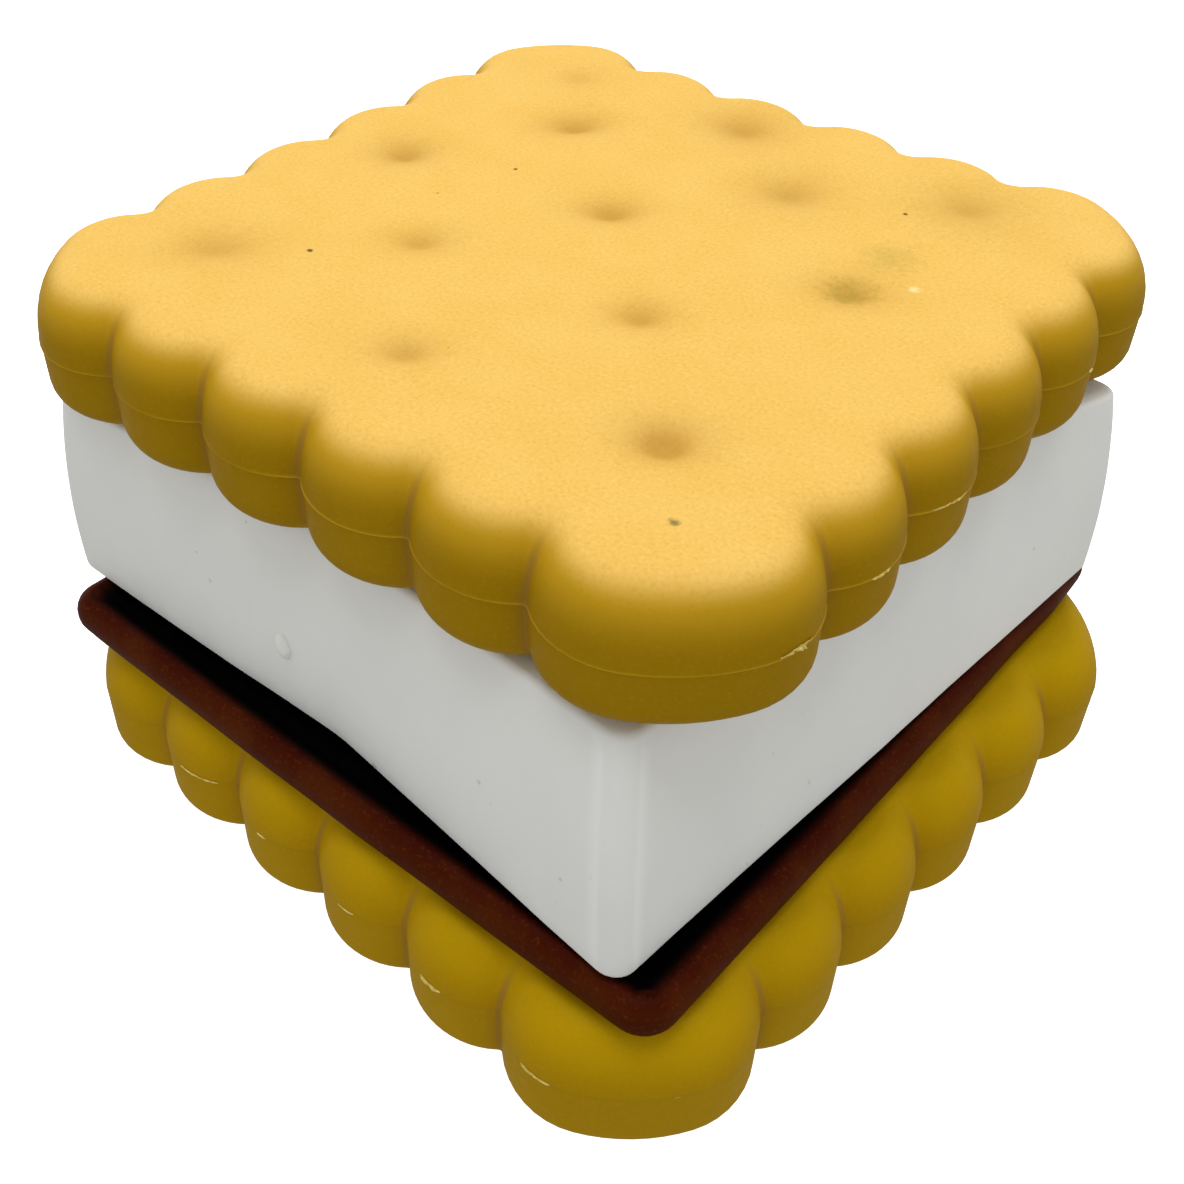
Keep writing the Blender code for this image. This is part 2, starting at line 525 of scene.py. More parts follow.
@dataclass(frozen=True)
class BiscuitFinish:
    """Ochre rubber with a fine sandy grain, painted paler where it faces up
    and darker on its walls as light and shade.

    Attributes:
        name: the material's name.
        face: colour of level places, painted pale as lit from above, with a
            painted sheen.
        rim: colour of the rounding above the walls, a painted step between the
            lit face and the shaded side.
        side: colour of the walls, painted darker as shade, and of the grain's
            pits.
        notch: painted shade deep between the lobes.
        hollow: painted shade in the dimples.
        pale: blots and grains of level places, painted lit.
        pale_side: blots and grains of the walls, painted shaded.
        seam: colour of the parting line.
        rim_up: how far up a place faces where the painted shade of the side
            turns to rim.
        face_up: how far up a place faces where rim turns to the painted light
            of the face.
        mottled: how much the blots show.
        flecked: how much the pale grains show.
        pitted: how much the pits show.
        crease_shade: how much the painted shade between the lobes shows.
        lined: how much the parting line's colour shows.
        sunk: how much the painted shade in the dimples shows.
        grain_size: size of one grain.
        sand_coarser: how many grains one swell of the sand spans.
        blot_size: size of one blot.
        ragged_size: size of the bites in a stain's edge.
        grain_depth: depth of the grain.
        sand_depth: depth of the sand.
        roughness: its middle roughness, about.
        gloss: how strongly it mirrors.
        stains: small blots of dirt.
    """

    name: str = "biscuit_rubber_finish"
    face: Colour = (0.80, 0.49, 0.105)
    rim: Colour = (0.52, 0.295, 0.012)
    side: Colour = (0.33, 0.185, 0.001)
    notch: Colour = (0.26, 0.13, 0.03)
    hollow: Colour = (0.45, 0.23, 0.03)
    pale: Colour = (0.90, 0.63, 0.20)
    pale_side: Colour = (0.42, 0.25, 0.006)
    seam: Colour = (0.62, 0.42, 0.05)
    rim_up: tuple[float, float] = (0.15, 0.65)
    face_up: tuple[float, float] = (0.55, 0.96)
    mottled: float = 0.16
    flecked: float = 0.33
    pitted: float = 0.15
    crease_shade: float = 0.55
    lined: float = 0.32
    sunk: float = 0.7
    grain_size: float = 0.32 * MM
    sand_coarser: float = 3.1
    blot_size: float = 7.0 * MM
    ragged_size: float = 0.8 * MM
    grain_depth: float = 0.035 * MM
    sand_depth: float = 0.05 * MM
    roughness: float = 0.52
    gloss: float = 0.03
    stains: tuple[Stain, ...] = ()

    def make(self) -> bpy.types.Material:
        """Build the material.

        Returns:
            The material.
        """
        bench = Bench(self.name)
        grain = bench.cloud(self.grain_size, 3.0, 0.6)
        sand = bench.cloud(self.grain_size * self.sand_coarser, 2.0, 0.5)
        blot = bench.cloud(self.blot_size, 3.0, 0.55)
        # Painted light and shade: paler where the surface faces up, darker on
        # the walls.
        up = bench.upward()
        rise = bench.span(up, *self.face_up)
        colour = bench.blend(bench.span(up, *self.rim_up), self.side,
                             self.rim)
        colour = bench.blend(rise, colour, self.face)
        # The pale blots and grains follow the same painted light and shade.
        pale = bench.blend(rise, self.pale_side, self.pale)
        colour = bench.lay_noise(colour, blot, 0.35, 0.70, self.mottled,
                                 pale)
        colour = bench.lay_noise(colour, grain, 0.50, 0.70, self.flecked,
                                 pale)
        pit = bench.span(grain, 0.30, 0.48, self.pitted, 0.0)
        colour = bench.blend(pit, colour, self.side)
        # Painted shade in the creases and the dimples, and the parting line's
        # colour.
        for mark, most, over in (("notch", self.crease_shade, self.notch),
                                 ("parting", self.lined, self.seam),
                                 ("dimple", self.sunk, self.hollow)):
            colour = bench.lay_mark(colour, mark, most, over)
        ragged = bench.cloud(self.ragged_size, 3.0, 0.6)
        colour = bench.lay_stains(colour, self.stains, ragged)
        rough = bench.span(sand, 0.3, 0.7, self.roughness - 0.06,
                           self.roughness + 0.08)
        low = bench.bump(sand, self.sand_depth, 0.5)
        fine = bench.bump(grain, self.grain_depth, 0.6, low)
        bench.sets(Base_Color=colour, Roughness=rough, Normal=fine,
                   Specular_IOR_Level=self.gloss)
        return bench.material


@dataclass(frozen=True)
class MallowFinish:
    """White rubber, satin, with faint scuffs and dust, and a painted highlight
    along the two welts.

    Attributes:
        name: the material's name.
        body: its main colour.
        shade: colour of the blots.
        dust: colour of the dust.
        bright: painted highlight along the welts.
        shaded: how much the blots show.
        dusted: how much the dust shows.
        welt_highlight_strength: how much that painted highlight shows.
        blot_size: size of one blot.
        grain_size: size of one grain.
        scuff_size: size of one scuff.
        scuff_squeeze: scale of the scuffs along Z, below 1 if tall.
        dust_size: size of one grain of dust.
        grain_depth: depth of the grain.
        scuff_depth: depth of the scuffs.
        roughness: its middle roughness, about.
        gloss: how strongly it mirrors.
        milky: how much of the light passes under the surface.
        milky_depth: how deep that light goes.
        stains: small blots of dirt.
    """

    name: str = "marshmallow_rubber_finish"
    body: Colour = (0.80, 0.802, 0.765)
    shade: Colour = (0.72, 0.725, 0.70)
    dust: Colour = (0.42, 0.40, 0.36)
    bright: Colour = (0.88, 0.88, 0.85)
    shaded: float = 0.25
    dusted: float = 0.5
    welt_highlight_strength: float = 0.6
    blot_size: float = 9.0 * MM
    grain_size: float = 0.5 * MM
    scuff_size: float = 1.6 * MM
    scuff_squeeze: float = 0.35
    dust_size: float = 0.9 * MM
    grain_depth: float = 0.02 * MM
    scuff_depth: float = 0.08 * MM
    roughness: float = 0.55
    gloss: float = 0.4
    milky: float = 0.15
    milky_depth: float = 1.0 * MM
    stains: tuple[Stain, ...] = ()

    def make(self) -> bpy.types.Material:
        """Build the material.

        Returns:
            The material.
        """
        bench = Bench(self.name)
        blot = bench.cloud(self.blot_size, 3.0, 0.5)
        grain = bench.cloud(self.grain_size, 3.0, 0.6)
        scuff = bench.cloud(self.scuff_size, 4.0, 0.62,
                            bench.stretched(1.0, 1.0, self.scuff_squeeze))
        dots = bench.cloud(self.dust_size, 1.0, 0.4)
        colour = bench.lay_noise(self.body, blot, 0.4, 0.75, self.shaded,
                                 self.shade)
        colour = bench.lay_noise(colour, dots, 0.80, 0.84, self.dusted,
                                 self.dust)
        # Painted highlight along the two welts at the front edge.
        colour = bench.lay_mark(colour, "welt", self.welt_highlight_strength,
                                self.bright)
        colour = bench.lay_stains(colour, self.stains, grain)
        rough = bench.span(scuff, 0.35, 0.7, self.roughness - 0.08,
                           self.roughness + 0.1)
        low = bench.bump(scuff, self.scuff_depth, 0.7)
        fine = bench.bump(grain, self.grain_depth, 0.5, low)
        bench.sets(Base_Color=colour, Roughness=rough, Normal=fine,
                   Specular_IOR_Level=self.gloss,
                   Subsurface_Weight=self.milky,
                   Subsurface_Radius=(1.0, 1.0, 0.97),
                   Subsurface_Scale=self.milky_depth)
        return bench.material


@dataclass(frozen=True)
class ChocolateFinish:
    """Dark brown rubber with a dull shine and reddish blots, painted shade
    darkening inward to black in the groove, and a painted highlight on its
    lower edge.

    Attributes:
        name: the material's name.
        outer: colour of the rim's outside, the lit end of the painted shade.
        body: colour of the rim's top, painted darker as shade.
        warm: colour of the blots and the grains, and of the painted highlight
            on the lip underneath.
        hollow: painted shade in the groove, near black.
        blotted: how much the blots show.
        flecked: how much the grains show.
        lip_highlight: how much the painted highlight on the lip shows.
        blot_size: size of one blot.
        grain_size: size of one grain.
        grain_depth: depth of the grain.
        roughness: its middle roughness, about.
        gloss: how strongly it mirrors.
    """

    name: str = "chocolate_rubber_finish"
    outer: Colour = (0.058, 0.0082, 0.0002)
    body: Colour = (0.046, 0.0032, 0.0002)
    warm: Colour = (0.16, 0.042, 0.004)
    hollow: Colour = (0.0015, 0.0008, 0.0008)
    blotted: float = 0.15
    flecked: float = 0.3
    lip_highlight: float = 0.9
    blot_size: float = 5.0 * MM
    grain_size: float = 0.35 * MM
    grain_depth: float = 0.03 * MM
    roughness: float = 0.46
    gloss: float = 0.03

    def make(self) -> bpy.types.Material:
        """Build the material.

        Returns:
            The material.
        """
        bench = Bench(self.name)
        blot = bench.cloud(self.blot_size, 3.0, 0.55)
        grain = bench.cloud(self.grain_size, 3.0, 0.6)
        inward = bench.mark("inward")
        # Painted shade: darker from the rim's outside inward.
        colour = bench.blend(bench.span(inward, 0.03, 0.55),
                             self.outer, self.body)
        colour = bench.lay_noise(colour, blot, 0.4, 0.7, self.blotted,
                                 self.warm)
        colour = bench.lay_noise(colour, grain, 0.52, 0.72, self.flecked,
                                 self.warm)
        # Painted highlight: lighter where the lower edge faces down.
        lip = bench.span(bench.upward(), -0.85, -0.25, self.lip_highlight, 0.0)
        colour = bench.blend(lip, colour, self.warm)
        rough = bench.span(grain, 0.3, 0.7, self.roughness - 0.06,
                           self.roughness + 0.1)
        # Painted shade: near black in the groove.
        colour = bench.blend(bench.span(inward, 0.45, 0.9), colour,
                             self.hollow)
        fine = bench.bump(grain, self.grain_depth, 0.5)
        bench.sets(Base_Color=colour, Roughness=rough, Normal=fine,
                   Specular_IOR_Level=self.gloss)
        return bench.material


@dataclass(frozen=True)
class FlashFinish:
    """Thin pale shreds left at a mould's joint.

    Attributes:
        name: the material's name.
        body: its main colour.
        thin: colour of thinner places.
        blot_size: size of one such place.
        depth: depth of its relief.
    """

    name: str = "flash_rubber_finish"
    body: Colour = (0.58, 0.42, 0.07)
    thin: Colour = (0.80, 0.67, 0.22)
    blot_size: float = 0.6 * MM
    depth: float = 0.05 * MM

    def make(self) -> bpy.types.Material:
        """Build the material.

        Returns:
            The material.
        """
        bench = Bench(self.name)
        blot = bench.cloud(self.blot_size, 2.0, 0.5)
        colour = bench.blend(bench.span(blot, 0.35, 0.65), self.body,
                             self.thin)
        bench.sets(Base_Color=colour, Roughness=0.5,
                   Normal=bench.bump(blot, self.depth, 0.5),
                   Specular_IOR_Level=0.4)
        return bench.material


@dataclass(frozen=True)
class FloorFinish:
    """White table top that glows as a lit sweep does.

    Attributes:
        name: the material's name.
        body: its colour.
        glow: how bright it glows.
    """

    name: str = "white_table"
    body: Colour = (0.85, 0.85, 0.85)
    glow: float = 1.0

    def make(self) -> bpy.types.Material:
        """Build the material.

        Returns:
            The material.
        """
        bench = Bench(self.name)
        bench.sets(Base_Color=self.body, Roughness=0.9,
                   Specular_IOR_Level=0.0, Emission_Color=(1.0, 1.0, 1.0),
                   Emission_Strength=self.glow)
        return bench.material


# ---------------------------------------------------------------------------
# the cracker's outline
# ---------------------------------------------------------------------------

@dataclass(frozen=True)
class Side:
    """One side of the scalloped square.

    Attributes:
        pitch: scallop to scallop.
        slide: how far the row is shifted along the side.
        further: how far the row lies further out.
    """

    pitch: float
    slide: float
    further: float


@dataclass(frozen=True)
class Shrink:
    """How far one level of a rim lies inside the full outline.

    Attributes:
        inset: the distance that the scallops draw back.
        crease: how fast a notch's root widens with the inset. At 1 the rim
            is an even offset, and below that the notches stay crisp.
        corner: how much more the corner lobes draw back.
    """

    inset: float = 0.0
    crease: float = 1.0
    corner: float = 1.0


@dataclass(frozen=True)
class Lobe:
    """One circle of the outline.

    Attributes:
        centre: its middle.
        radius: its radius.
        kind: scallop or corner shoulder.
        front: the middle of its corner's front arc, for a shoulder.
    """

    centre: Vector
    radius: float
    kind: LobeKind
    front: Vector | None = None


@dataclass(frozen=True)
class Join:
    """The arc between two circles of the outline.

    Attributes:
        kind: notch, or front of a corner.
        centre: the arc's middle.
        radius: its radius.
        start: its direction where it leaves the first circle.
        end: its direction where it meets the second circle.
        middle: the deepest point of a notch.
    """

    kind: JoinKind
    centre: Vector
    radius: float
    start: float
    end: float
    middle: Vector | None = None


@dataclass(frozen=True)
class ScallopOutline:
    """A square made of sixteen scallops and four blunt corner lobes.

    Attributes:
        sides: the four sides, counter-clockwise from -Y.
        row: scallops on a side.
        lobe_radius: radius of a scallop.
        lobe_line: how far out the scallops' centres lie.
        corner_radius: radius of a corner's two shoulders.
        corner_reach: how far out the shoulders' centres lie.
        corner_half: half the distance between the two.
        corner_flat: how far behind them the front arc has its centre.
        notch_radius: radius at the root of a notch.
        lobe_steps: points round a scallop.
        corner_steps: points round a shoulder.
        front_steps: points along a corner's front.
        notch_steps: points round the root of a notch.
    """

    sides: tuple[Side, ...] = (
        Side(11.00 * MM, -0.36 * MM, 0.00 * MM),
        Side(10.83 * MM, -0.14 * MM, 0.21 * MM),
        Side(10.85 * MM, -0.17 * MM, -0.66 * MM),
        Side(10.87 * MM, 0.48 * MM, -0.16 * MM),
    )
    row: int = 4
    lobe_radius: float = 7.82 * MM
    lobe_line: float = 30.08 * MM
    corner_radius: float = 7.50 * MM
    corner_reach: float = 40.41 * MM
    corner_half: float = 2.55 * MM
    corner_flat: float = 8.57 * MM
    notch_radius: float = 0.5 * MM
    lobe_steps: int = 14
    corner_steps: int = 8
    front_steps: int = 8
    notch_steps: int = 6

    def lobes(self, shrink: Shrink = Shrink()) -> list[Lobe]:
        """The circles round a cracker, counter-clockwise from -Y.

        Args:
            shrink: how far this level lies inside the full outline.

        Returns:
            Four scallops and two corner shoulders for each side.
        """
        scallop = self.lobe_radius - shrink.inset
        shoulder = self.corner_radius - shrink.inset * shrink.corner
        circles: list[Lobe] = []
        for number, side in enumerate(self.sides):
            turn = Matrix.Rotation(number * pi / 2, 2)
            for i in range(self.row):
                along = side.slide + (i - (self.row - 1) / 2) * side.pitch
                spot = turn @ Vector((along, -self.lobe_line - side.further))
                circles.append(Lobe(spot, scallop, LobeKind.SCALLOP))
            out = turn @ Vector((1, -1)).normalized()
            across = Vector((-out.y, out.x))
            front = out * (self.corner_reach - self.corner_flat)
            for sign in (-1, 1):
                spot = (out * self.corner_reach
                        + across * self.corner_half * sign)
                circles.append(Lobe(spot, shoulder, LobeKind.SHOULDER,
                                    front))
        return circles

    def joins(self, shrink: Shrink = Shrink()) -> list[Join]:
        """The arcs between neighbouring circles.

        Args:
            shrink: how far this level lies inside the full outline.

        Returns:
            One join after each circle.
        """
        circles = self.lobes(shrink)
        root = self.notch_radius + shrink.inset * shrink.crease
        made: list[Join] = []
        for i, here in enumerate(circles):
            there = circles[(i + 1) % len(circles)]
            if here.kind is there.kind is LobeKind.SHOULDER:
                middle = here.front
                reach = here.radius + (here.centre - middle).length
                kind, bottom = JoinKind.FRONT, None
            else:
                middle = self._root(here, there, root)
                reach = root
                kind = JoinKind.NOTCH
                inward = (here.centre + there.centre) / 2 - middle
                bottom = middle + inward.normalized() * root
            made.append(Join(kind, middle, reach,
                             self._angle(middle, here.centre),
                             self._angle(middle, there.centre), bottom))
        return made

    def roots(self, shrink: Shrink = Shrink()) -> list[Vector]:
        """The deepest point of every notch.

        Args:
            shrink: how far this level lies inside the full outline.

        Returns:
            The points in the plane.
        """
        return [j.middle for j in self.joins(shrink)
                if j.kind is JoinKind.NOTCH]

    def points(self, shrink: Shrink = Shrink()) -> list[Vector]:
        """The whole outline, counter-clockwise.

        Args:
            shrink: how far this level lies inside the full outline.

        Returns:
            Its points in the plane, as many at every level.
        """
        circles = self.lobes(shrink)
        joins = self.joins(shrink)
        made: list[Vector] = []
        for i, lobe in enumerate(circles):
            before, after = joins[i - 1], joins[i]
            start = (self._angle(lobe.centre, before.centre)
                     if before.kind is JoinKind.NOTCH else before.end)
            end = (self._angle(lobe.centre, after.centre)
                   if after.kind is JoinKind.NOTCH else after.start)
            steps = (self.lobe_steps if lobe.kind is LobeKind.SCALLOP
                     else self.corner_steps)
            made += self._arc(lobe.centre, lobe.radius, start,
                              self._unwrap(start, end, 1), steps)
            if after.kind is JoinKind.NOTCH:
                sign, steps = -1, self.notch_steps
            else:
                sign, steps = 1, self.front_steps
            made += self._arc(after.centre, after.radius, after.start,
                              self._unwrap(after.start, after.end, sign),
                              steps)
        return made

    @staticmethod
    def _root(a: Lobe, b: Lobe, radius: float) -> Vector:
        """Centre of the circle that touches both lobes from outside.

        Args:
            a: the first lobe.
            b: the lobe after it.
            radius: the circle's radius.

        Returns:
            The centre.
        """
        r1, r2 = a.radius + radius, b.radius + radius
        span = (b.centre - a.centre).length
        along = (r1 * r1 - r2 * r2 + span * span) / (2 * span)
        across = sqrt(max(0.0, r1 * r1 - along * along))
        u = (b.centre - a.centre) / span
        return a.centre + u * along + Vector((u.y, -u.x)) * across

    @staticmethod
    def _angle(origin: Vector, point: Vector) -> float:
        """Direction from one point to another."""
        return atan2(point.y - origin.y, point.x - origin.x)

    @staticmethod
    def _unwrap(start: float, end: float, sign: int) -> float:
        """Move an end angle by whole turns to lie ahead of the start.

        Args:
            start: the angle to start from.
            end: the angle to move.
            sign: 1 for counter-clockwise, -1 for clockwise.

        Returns:
            The moved angle, within a turn of the start.
        """
        while sign * (end - start) < 0:
            end += sign * 2 * pi
        while sign * (end - start) > 2 * pi:
            end -= sign * 2 * pi
        return end

    @staticmethod
    def _arc(centre: Vector, radius: float, start: float, end: float,
             steps: int) -> list[Vector]:
        """Points from start to end on a circle, without the last one.

        Args:
            centre: the circle's middle.
            radius: its radius.
            start: direction of the first point.
            end: direction where the arc ends.
            steps: how many points it has.

        Returns:
            The points.
        """
        return [centre + Vector((cos(a), sin(a))) * radius
                for a in (start + (end - start) * i / steps
                          for i in range(steps))]


# ---------------------------------------------------------------------------
# the crackers
# ---------------------------------------------------------------------------

@dataclass(frozen=True)
class Dimple:
    """One docking hollow in a cracker's face, a tight bell in a wide one.

    Attributes:
        x: place from the cracker's centre.
        y: place from the cracker's centre.
        depth: how deep the hollow is.
        width: its rough radius.
        stretch: how much longer it is than wide.
        turn: direction of its length.
        wide: width of the wide bell, in radii.
        tight: width of the tight bell, in radii.
        fades: nothing is left of it beyond this many radii.
    """

    x: float
    y: float
    depth: float = 0.45 * MM
    width: float = 2.3 * MM
    stretch: float = 1.0
    turn: float = 0.0
    wide: float = 1.45
    tight: float = 0.7
    fades: float = 6.0

    def drop(self, spot: Vector) -> float:
        """How far the hollow lowers the face at a point.

        Args:
            spot: the point from the cracker's centre.

        Returns:
            The drop in metres.
        """
        dx, dy = spot.x - self.x, spot.y - self.y
        if abs(dx) + abs(dy) > self.fades * self.width:
            return 0.0
        along = (dx * cos(self.turn) + dy * sin(self.turn)) / self.stretch
        across = -dx * sin(self.turn) + dy * cos(self.turn)
        away = hypot(along, across)
        return self.depth * (0.5 * bell(away, self.width * self.wide)
                             + 0.5 * bell(away, self.width * self.tight))


@dataclass(frozen=True)
class Shred:
    """A shred of flash on the parting line.

    Attributes:
        lobe: which circle of the outline it grows on.
        start: angle round the lobe where it starts, in degrees.
        end: angle where it ends, in degrees.
        width: how far it stands out.
        thick: how thick it is.
        lift: how far above the parting line it lies.
        curl: how far its free edge rises.
        blunt: how wide its tips are, of its whole width.
        taper: how fast it widens from its tips.
        mean: its middle width, of its whole width.
        sway: how much its ragged edge varies.
        least: how narrow it may get, of its whole width.
    """

    lobe: int
    start: float
    end: float
    width: float = 0.3 * MM
    thick: float = 0.16 * MM
    lift: float = 0.0
    curl: float = 0.0
    blunt: float = 0.15
    taper: float = 5.0
    mean: float = 0.65
    sway: float = 0.7
    least: float = 0.25

    def stands_out(self, t: float, steps: int, seed: float) -> float:
        """How far it stands out at a place along it.

        Args:
            t: the place, from 0 to 1.
            steps: how many steps it is drawn in.
            seed: shifts its raggedness.

        Returns:
            The distance in metres.
        """
        swing = noise.noise(Vector((7.0 * t * steps / 9, seed, 0.3)))
        ragged = self.mean + self.sway * swing
        tip = min(1.0, self.taper * t + self.blunt,
                  self.taper * (1 - t) + self.blunt)
        return self.width * tip * max(self.least, ragged)


@dataclass
class Cracker:
    """One scalloped cracker, moulded in two halves.

    Attributes:
        name: name of the cracker.
        flash_name: name of its shreds of flash.
        centre: where its middle stands.
        floor: height of its underside.
        turn: its turn about the vertical.
        scale: its size, of the plain outline.
        thick: its thickness.
        face_round: how far in the rounding below the face reaches.
        face_drop: how far down that rounding reaches.
        face_crease: how fast notches widen with it.
        back_round: how far the rounding above the underside reaches.
        back_crease: how fast notches widen with it.
        back_corner: how much more the corner lobes draw back there.
        rim_steps: rings in each rounding.
        ring_gap: rings closer than this are left out.
        crease_fades: the creases' painted shade is full this far below the
            face.
        crease_span: that painted shade fades between these distances from a
            root.
        parting: how far below the face the parting line lies.
        ridge: how far that line stands out.
        ridge_half: half its height.
        line_tint: the middle strength of its colour.
        line_wander: how much that strength varies.
        step: how far the lower mould's half lies inside the upper one's.
        grid: size of the squares that the face is cut into.
        reach: the cuts lie within this distance of the middle.
        rumple: unevenness of the face.
        swell_size: size of one large swell of the face.
        fine_size: size of one small swell.
        fine_share: height of a small swell, of a large one's.
        settled: how far the face has sunk, of a large swell's height.
        seed: shifts the unevenness.
        warp: how far the underside is lifted on the -X side.
        warp_span: the lift starts and is full at these places along X.
        dimples: the hollows in its face.
        deep: the dimples' painted shade is full at this depth.
        shreds: its shreds of flash.
        shred_root: how deep the shreds sit in the wall.
        outline: its plain outline.
    """

    name: str
    flash_name: str
    centre: tuple[float, float]
    floor: float
    turn: float = 0.0
    scale: float = 1.0
    thick: float = 12.4 * MM
    face_round: float = 3.96 * MM
    face_drop: float = 6.1 * MM
    face_crease: float = 0.70
    back_round: float = 2.9 * MM
    back_crease: float = 0.45
    back_corner: float = 1.15
    rim_steps: int = 12
    ring_gap: float = 0.01 * MM
    crease_fades: float = 3.0 * MM
    crease_span: tuple[float, float] = (0.15 * MM, 0.5 * MM)
    parting: float = 5.3 * MM
    ridge: float = 0.055 * MM
    ridge_half: float = 0.11 * MM
    line_tint: float = 0.4
    line_wander: float = 0.9
    step: float = 0.05 * MM
    grid: float = 0.6 * MM
    reach: float = 44.0 * MM
    rumple: float = 0.10 * MM
    swell_size: float = 11.0 * MM
    fine_size: float = 4.0 * MM
    fine_share: float = 0.35
    settled: float = 0.4
    seed: float = 1.0
    warp: float = 0.0
    warp_span: tuple[float, float] = (20.0 * MM, -40.0 * MM)
    dimples: tuple[Dimple, ...] = ()
    deep: float = 1.0 * MM
    shreds: tuple[Shred, ...] = ()
    shred_root: float = 0.15 * MM
    outline: ScallopOutline = field(default_factory=ScallopOutline)

    def place(self) -> Matrix:
        """Where the cracker stands."""
        return standing((*self.centre, self.floor), self.turn)

    def build(self) -> bpy.types.Object:
        """Model the cracker.

        Returns:
            The finished object.
        """
        bm = bmesh.new()
        self._loft(bm)
        self._grid_faces(bm)
        self._mark(bm)
        self._raise_parting(bm)
        self._press(bm)
        self._bend(bm)
        return make_object(bm, self.name, self.place())

    def _levels(self) -> list[tuple[float, Shrink]]:
        """The rings that the cracker's wall is drawn through.

        Returns:
            The height of each ring and how far it lies inside, upwards.
        """
        level = self.thick - self.parting
        heights = [level + self.ridge_half * i for i in (-3, -1, 0, 1, 3)]
        for i in range(self.rim_steps + 1):
            fall = 1 - cos(pi / 2 * i / self.rim_steps)
            heights.append(self.back_round * fall)
            heights.append(self.thick - self.face_drop * fall)
        heights.append((self.back_round + self.thick - self.face_drop) / 2)
        made: list[tuple[float, Shrink]] = []
        for z in sorted(heights):
            below_face = z < self.thick - SAME_LEVEL
            if made and z - made[-1][0] < self.ring_gap and below_face:
                continue
            made.append((z, self._shrink(z)))
        return made

    def _shrink(self, z: float) -> Shrink:
        """How far the wall lies inside the outline at a height.

        Args:
            z: the height above the cracker's underside.

        Returns:
            The draw-back at that height.
        """
        if z < self.back_round:
            rise = 1 - z / self.back_round
            inset = self.back_round * (1 - sqrt(max(0.0, 1 - rise * rise)))
            return Shrink(inset + self.step, self.back_crease,
                          self.back_corner)
        start = self.thick - self.face_drop
        step = self.step if z < self.thick - self.parting else 0.0
        if z <= start:
            return Shrink(step, self.face_crease)
        rise = (z - start) / self.face_drop
        inset = self.face_round * (1 - sqrt(max(0.0, 1 - rise * rise)))
        return Shrink(inset + step, self.face_crease)

    def _loft(self, bm: bmesh.types.BMesh) -> None:
        """Draw the outline up through all rings by extruding its face.

        Args:
            bm: the empty mesh.
        """
        face, ring = None, []
        for z, shrink in self._levels():
            spots = [p * self.scale for p in self.outline.points(shrink)]
            if face is None:
                ring = [bm.verts.new((p.x, p.y, z)) for p in spots]
                face = bm.faces.new(ring)
            else:
                seat = {(round(v.co.x, 7), round(v.co.y, 7)): i
                        for i, v in enumerate(ring)}
                first = len(bm.faces) == 1
                made = bmesh.ops.extrude_face_region(bm, geom=[face])["geom"]
                if not first:
                    bmesh.ops.delete(bm, geom=[face], context="FACES_ONLY")
                for g in made:
                    if isinstance(g, bmesh.types.BMVert):
                        ring[seat[(round(g.co.x, 7), round(g.co.y, 7))]] = g
                    elif isinstance(g, bmesh.types.BMFace):
                        face = g
                for v, p in zip(ring, spots):
                    v.co = (p.x, p.y, z)

    def _mark(self, bm: bmesh.types.BMesh) -> None:
        """Keep on each vertex how near a crease, line or dimple it lies, for
        the painted shade in creases and dimples and for the parting line's
        colour.

        Args:
            bm: the cracker's mesh.
        """
        notch = bm.verts.layers.float.new("notch")
        dimple = bm.verts.layers.float.new("dimple")
        parting = bm.verts.layers.float.new("parting")
        level = self.thick - self.parting
        known: dict[float, list[Vector]] = {}
        for v in bm.verts:
            z = round(v.co.z, 6)
            if z not in known:
                known[z] = [r * self.scale
                            for r in self.outline.roots(self._shrink(z))]
            near = min(hypot(v.co.x - r.x, v.co.y - r.y) for r in known[z])
            low = smooth_step(self.thick, self.thick - self.crease_fades, z)
            # Painted shade near a notch's root, fading towards the face.
            v[notch] = low * (1.0 - smooth_step(*self.crease_span, near))
            if abs(z - level) < SAME_LEVEL:
                wander = rumple(v.co, 6.0 * MM, self.seed)
                v[parting] = self.line_tint + self.line_wander * wander
            if z > self.thick - self.deep:
                # Painted shade, stronger where a dimple is deeper.
                v[dimple] = min(1.0, sum(d.drop(v.co) for d in self.dimples)
                                / self.deep)

    def _grid_faces(self, bm: bmesh.types.BMesh) -> None:
        """Cut the flat faces into small squares, so that they can bend.

        Args:
            bm: the cracker's mesh.
        """
        for level, pitch in ((self.thick, self.grid), (0.0, 4 * self.grid)):
            flat = [f for f in bm.faces
                    if all(abs(v.co.z - level) < SAME_LEVEL
                           for v in f.verts)]
            geom = list(set(flat) | {e for f in flat for e in f.edges}
                        | {v for f in flat for v in f.verts})
            for axis in (0, 1):
                geom = slice_part(bm, geom, axis, even_places(
                    -self.reach, self.reach, pitch))

    def _raise_parting(self, bm: bmesh.types.BMesh) -> None:
        """Raise the thin line where the two mould halves met.

        Args:
            bm: the cracker's mesh.
        """
        level = self.thick - self.parting
        bm.normal_update()
        for v in bm.verts:
            if abs(v.co.z - level) < SAME_LEVEL:
                out = Vector((v.normal.x, v.normal.y, 0.0)).normalized()
                wander = rumple(v.co, 9.0 * MM, self.seed + 5.0)
                v.co += out * self.ridge * (1.0 + 0.8 * wander)

